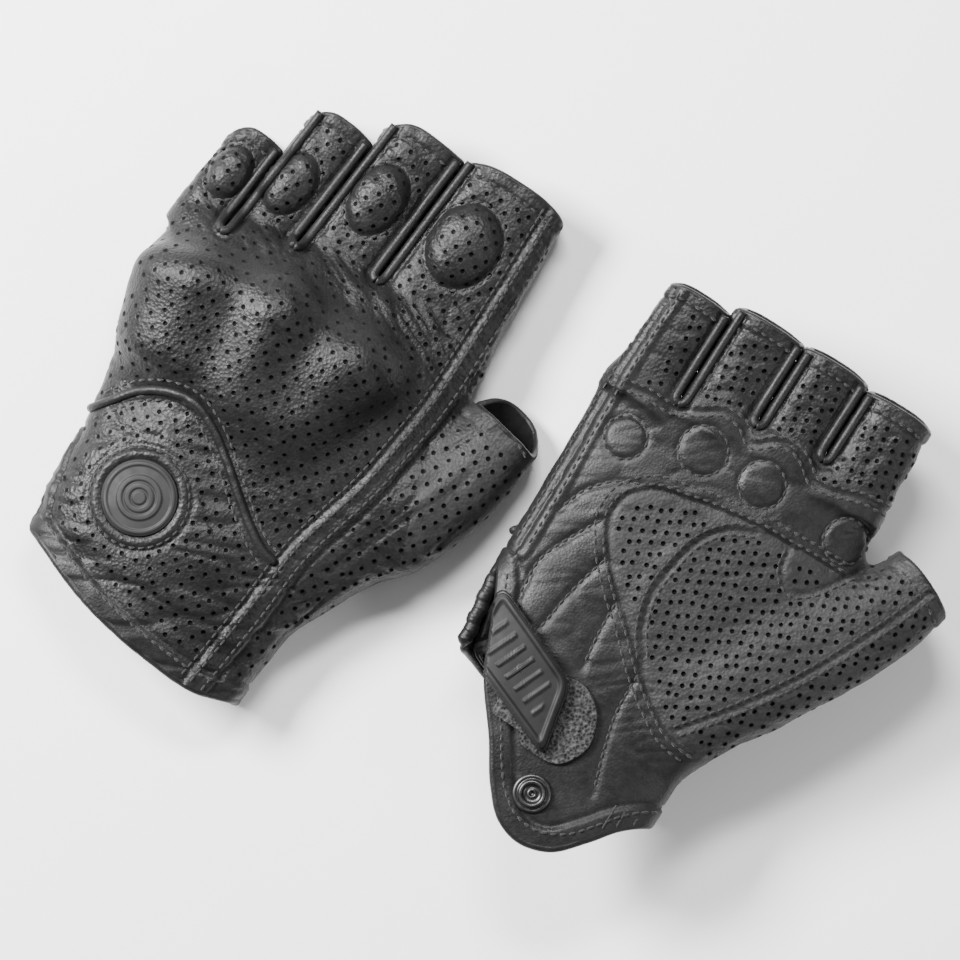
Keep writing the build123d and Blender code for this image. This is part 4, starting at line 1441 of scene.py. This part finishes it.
    def stitching(self):
        """Every run of stitches, as (plan line, back 1 or palm -1, distance to one side)."""
        g = self.g
        runs = [(np.array(g["side_seam"]), 1, shift) for shift in (1.9, 6.3, -1.6)]
        runs += [(np.array(g["arch"]), 1, shift) for shift in (-3.2, 3.2)]
        runs.append((ellipse(*g["badge"], 15.9, 15.9, 40), 1, 0.0))
        for name, shifts in (("finger_seam", (-1.6, 1.6)), ("overlay", (1.5, 4.2)),
                             ("ball", (-1.7, 1.7)), ("crotch", (1.5,)),
                             ("thumb_side", (-1.7, 1.7)), ("ulnar", (-2.0, 2.2))):
            line = mapped(PALM_LINES[name], g["palm_map"])
            runs += [(line, -1, shift) for shift in shifts]
        runs += [(mapped(line, g["palm_map"]), -1, 0.0) for line in PALM_LINES["quilting"]]
        for x, y, radius in PALM_LINES["pads"]:
            (x, y), = mapped([(x, y)], g["palm_map"])
            runs.append((ellipse(x, y, 1.05 * radius, 1.05 * radius, 24), -1, 0.0))
        x = np.arange(-52, 42, 6.0)
        for side, hem in ((1, "back_hem"), (-1, "palm_hem")):
            runs.append((np.stack([x, np.interp(x, *path(g[hem], 1.0).T) + 5.0], 1), side, 0.0))
        for d in g["digits"].values():
            across = np.linspace(-0.9, 0.9, 13) * d["wide"][1]
            reach = d["length"] - 4.0
            bend = math.radians(d["bend"])
            if bend:
                reach = BEND_REACH / bend * math.sin(bend) + (reach - BEND_REACH) * math.cos(bend)
            along = reach - (d["length"] - tip_cut(across, 0 * across, d))
            runs += [(digit_plan(d, across, along), side, 0.0) for side in (1, -1)]
            if d["pad"]:
                x, y, half_wide, half_long, _ = d["pad"]
                loop = ellipse(x, y, 1.12 * half_wide, 1.09 * half_long, 30)
                runs.append((digit_plan(d, *loop.T), 1, 0.0))
        made = [stitch for line, side, shift in runs for stitch in stitches(self.skin, line, side, shift)]
        belongs = digit_owner(np.array([v.mean(0) for v, _ in made]), g, 0.3)
        bags = {}
        for (v, f), k in zip(made, belongs):
            bags.setdefault("hand" if k < 0 else self.names[k], Bag()).add(v, f)
        for part, bag in bags.items():
            self.add(f"{part}_stitching", bag.points(), bag.F, "thread", part)

    def welts(self):
        """Corded welts round the slits between the fingers, one half on each finger."""
        out, radius = 3.1, 1.5
        turn = np.linspace(0, math.pi / 2, 8)
        far = np.arange(1.5, 60, 1.0)
        for n, ((x0, y0), (x1, y1)) in enumerate(self.g["slits"]):
            lean = (x1 - x0) / (y1 - y0)
            for k, way in ((n, -1), (n + 1, 1)):
                # The route lies on the finger's shoulder, and the cord a little nearer the slit.
                bend = np.stack([x0 + way * out * np.sin(turn), y0 + 0.4 - out * np.cos(turn)], 1)
                leg = np.stack([x0 + lean * far + way * out, y0 + far], 1)
                route = np.vstack([bend, leg])
                inwards = np.full(route.shape, (-way, 0.0))
                inwards[:len(bend)] = np.stack([-way * np.sin(turn), np.cos(turn)], 1)
                for side, face in ((1, "back"), (-1, "palm")):
                    spots = []
                    for (x, y), (dx, dy) in zip(route, inwards):
                        spot = self.skin.drop(x, y, side)
                        if spot is None or (spots and abs(spot[0][2] - spots[-1][2]) > 4):
                            break
                        spots.append(spot[0] + (1.15 * dx, 1.15 * dy, -0.1 * side))
                    line = np.array(spots)
                    for _ in range(6):
                        line[1:-1] = (line[:-2] + 2 * line[1:-1] + line[2:]) / 4
                    tube, faces = sweep(line, np.array((0, 0, float(side))), radius, 10)
                    self.add(f"{self.names[k]}_welt_{face}_{n}", tube, faces, "trim", self.names[k])

    def piping(self):
        """The corded arch seam above the cuff."""
        line, up = self.skin.lay(path(self.g["arch"], 0.8), 1, 0.35)
        tube, faces = sweep(line, up, 1.45, 12)
        self.add("cuff_piping_cord", tube, faces, "trim", "hand", "cuff_piping")

    def badge(self):
        """A moulded disc with a rim and two plain rings."""
        bx, by = self.g["badge"]

        def rise(P, gap):
            r = np.hypot(P[:, 0] - bx, P[:, 1] - by)
            ring = 0.35 * smooth((gap - 0.6) / 0.4) * smooth((2.3 - gap) / 0.5)
            mark = 0.45 * smooth((7.4 - r) / 0.4)
            groove = 0.4 * smooth(1 - np.abs(r - 5.1) / 0.7) + 0.4 * smooth(1 - np.abs(r - 2.6) / 0.7)
            return ring + mark - groove

        disc = ellipse(bx, by, 12.3, 12.3, 96, closed=False)
        v, f = ring_patch(self.plain, disc, 1, -0.4, 0.9, rise, 44, 0.5)
        self.add("badge_disc", v, f, "rubber", "hand", "badge")

    def strap(self):
        """The closure strap's layers, its hook and loop patches and its roll of leather."""
        sx, sy, sz = self.g["strap"]["axis"]
        half = self.g["strap"]["width"] / 2
        ex, ey = self.g["strap"]["end"]
        root = sx + 5.2
        corners = [(root, sy - half), (ex + 1.5, ey - half - 0.6), (ex - 3.5, ey + half + 0.8),
                   (root, sy + half)]
        middle = np.mean(corners, axis=0)
        ahead = np.array((ex - root, ey - sy)) / math.hypot(ex - root, ey - sy)

        def ribbed(P, gap):
            rim_height = 0.55 * smooth((gap - 0.5) / 0.4) * smooth((2.2 - gap) / 0.5)
            ribs = 0.5 * smooth((np.cos((P - middle) @ ahead * 2 * math.pi / 4.6) - 0.55) / 0.3)
            return rim_height + ribs * smooth((gap - 4.6) / 0.5) - 0.3 * smooth((gap - 2.2) / 0.4)

        def fuzzed(P, gap):
            q = np.column_stack([P, np.zeros(len(P))])
            return 0.30 * noise(q, 0.8, 61) + 0.2 * noise(q, 0.45, 63)

        cover = [middle + (np.array(c) - middle) * 0.955 for c in corners]
        hook = [(ex - 20, ey - half + 3), (ex - 1, ey - half + 2.4), (ex - 7.5, ey + half - 2),
                (ex - 20, ey + half + 0.5)]
        loop = [(ex - 9, ey - half - 1), (ex + 7, ey - half - 1), (ex + 13, ey - 2), (ex + 9, ey + 9),
                (ex + 1, ey + half + 3), (ex - 9, ey + half + 1)]
        for name, outline, bottom, top, rise, rings, crown, look, part, node in (
                ("strap_leather", rounded(corners, 4.5), 2.5, 3.6, None, 10, 0.45, "trim", "strap", "strap"),
                ("strap_cover_rubber", rounded(cover, 4.0), 3.55, 5.0, ribbed, 40, 0.6, "rubber", "strap",
                 "strap_cover"),
                ("hook_patch_fuzz", rounded(hook, 2.0, 0.5), 1.6, 2.5, fuzzed, 24, 0.3, "fuzz", "strap",
                 "hook_patch"),
                ("loop_patch_fuzz", rounded(loop, 5.0, 0.45), -0.1, 1.25, fuzzed, 44, 0.4, "fuzz", "hand",
                 "loop_patch")):
            v, f = ring_patch(self.plain, outline, -1, bottom, top, rise, rings, crown)
            self.add(name, v, f, look, part, node)

        ys = np.linspace(sy - half - 0.5, sy + half + 2.0, 60)
        tuck = 1.0 + 3.4 * (ys[-1] - ys) / (ys[-1] - ys[0]) + (1.6 if self.side == "left" else 0.0)
        line = np.stack([sx + tuck + 0.25 * np.sin(ys * 0.9), ys, np.full(60, sz - 1.0)], 1)
        taper = np.sqrt(smooth(np.minimum(ys - ys[0], ys[-1] - ys) / 3.0) + 0.02)
        radius = (2.35 + 0.12 * np.sin(ys * 1.7) + 0.08 * np.sin(ys * 4.1)) * taper
        tube, faces = sweep(line, np.array((0, 0, 1.0)), radius, 18)
        self.add("strap_roll_leather", tube, faces, "trim", "hand", "strap_roll")

    def fastener(self):
        """The press fastener below the palm: a socket or a stud, and the cap inside."""
        px, py = self.g["snap"]
        level = self.plain.drop(px, py, -1)[0][2]
        flange = [(6.2, -0.4), (6.2, 0.75), (5.95, 1.15), (5.3, 1.35)]
        socket = [(4.95, 1.05), (4.75, 1.0), (4.5, 1.3), (4.35, 2.5), (4.0, 2.95), (3.5, 2.95), (3.1, 2.5),
                  (2.9, 1.4), (2.2, 1.1), (1.6, 1.15), (1.35, 1.55), (0.95, 1.6), (0.75, 1.2), (0.5, 0.6)]
        stud = [(4.3, 1.1), (3.2, 1.05), (2.5, 1.3), (2.3, 1.9), (2.5, 2.6), (2.3, 3.1), (1.6, 3.3),
                (0.8, 3.2), (0.6, 2.7), (0.4, 2.2)]
        cap = [(6.0, -0.6), (6.1, 0.1), (5.6, 0.6), (3.0, 0.95), (1.0, 1.05), (0.4, 1.0)]
        node, head = ("snap_socket", socket) if self.side == "right" else ("snap_stud", stud)
        v, f = lathe((px, py, level + 0.25), flange + head, -1)
        self.add(f"{node}_turned", v, f, "metal", "hand", node)
        v, f = lathe((px, py, level + 2.6), cap, 1)
        self.add("snap_cap_turned", v, f, "metal", "hand", "snap_cap")


for shape in (LEFT, RIGHT):
    glove = Glove(shape)
    glove.panels()
    glove.layers()
    glove.edges()
    glove.stitching()
    glove.welts()
    glove.piping()
    glove.badge()
    glove.strap()
    glove.fastener()

# ---------------------------------------------------------------------------------------------
# Floor, light and camera
# ---------------------------------------------------------------------------------------------

floor_look = Shader("studio_floor")
floor_look.colour(floor_look.ramp(floor_look.noise(9.0, 2.0), (0.3, (0.90,) * 3), (0.7, (0.93,) * 3)))
floor_look.set(Roughness=0.8, Specular_IOR_Level=0.2)
bpy.ops.mesh.primitive_plane_add(size=6.0, location=(0, 0, -0.0006))
floor = bpy.context.object
floor.name = "floor"
floor.data.materials.append(floor_look.material)

world = bpy.data.worlds.new("studio")
bpy.context.scene.world = world
world.use_nodes = True
world.node_tree.nodes["Background"].inputs["Color"].default_value = (1, 1, 1, 1)
world.node_tree.nodes["Background"].inputs["Strength"].default_value = 0.33

TARGET = Vector(to_row((64.0, 15.0, 18.0), LEFT))
ROLL = math.radians(36.0)


def image_direction(right, up):
    """A direction in the row's plan from image directions."""
    c, s = math.cos(ROLL), math.sin(ROLL)
    return Vector((right * c - up * s, right * s + up * c, 0))


def softbox(name, right, up, height, size, power):
    data = bpy.data.lights.new(name, "AREA")
    data.shape = "RECTANGLE"
    data.size, data.size_y = size
    data.energy = power
    lamp = bpy.data.objects.new(name, data)
    bpy.context.scene.collection.objects.link(lamp)
    lamp.location = TARGET + image_direction(right, up) + Vector((0, 0, height))
    lamp.rotation_euler = (TARGET - lamp.location).to_track_quat("-Z", "Y").to_euler()
    return lamp


softbox("key", -0.75, 0.45, 0.75, (0.42, 0.30), 58.0)
softbox("top", 0.05, 0.55, 0.85, (0.35, 0.16), 14.0)
softbox("edge", 0.75, -0.45, 0.7, (0.2, 0.4), 4.0)

camera_data = bpy.data.cameras.new("camera")
camera_data.lens = 300.0
camera_data.sensor_width = 36.0
camera = bpy.data.objects.new("camera", camera_data)
bpy.context.scene.collection.objects.link(camera)
camera.location = TARGET + Vector((0, 0, 0.306 * 300.0 / 36.0))
camera.rotation_euler = (0, 0, ROLL)
bpy.context.scene.camera = camera
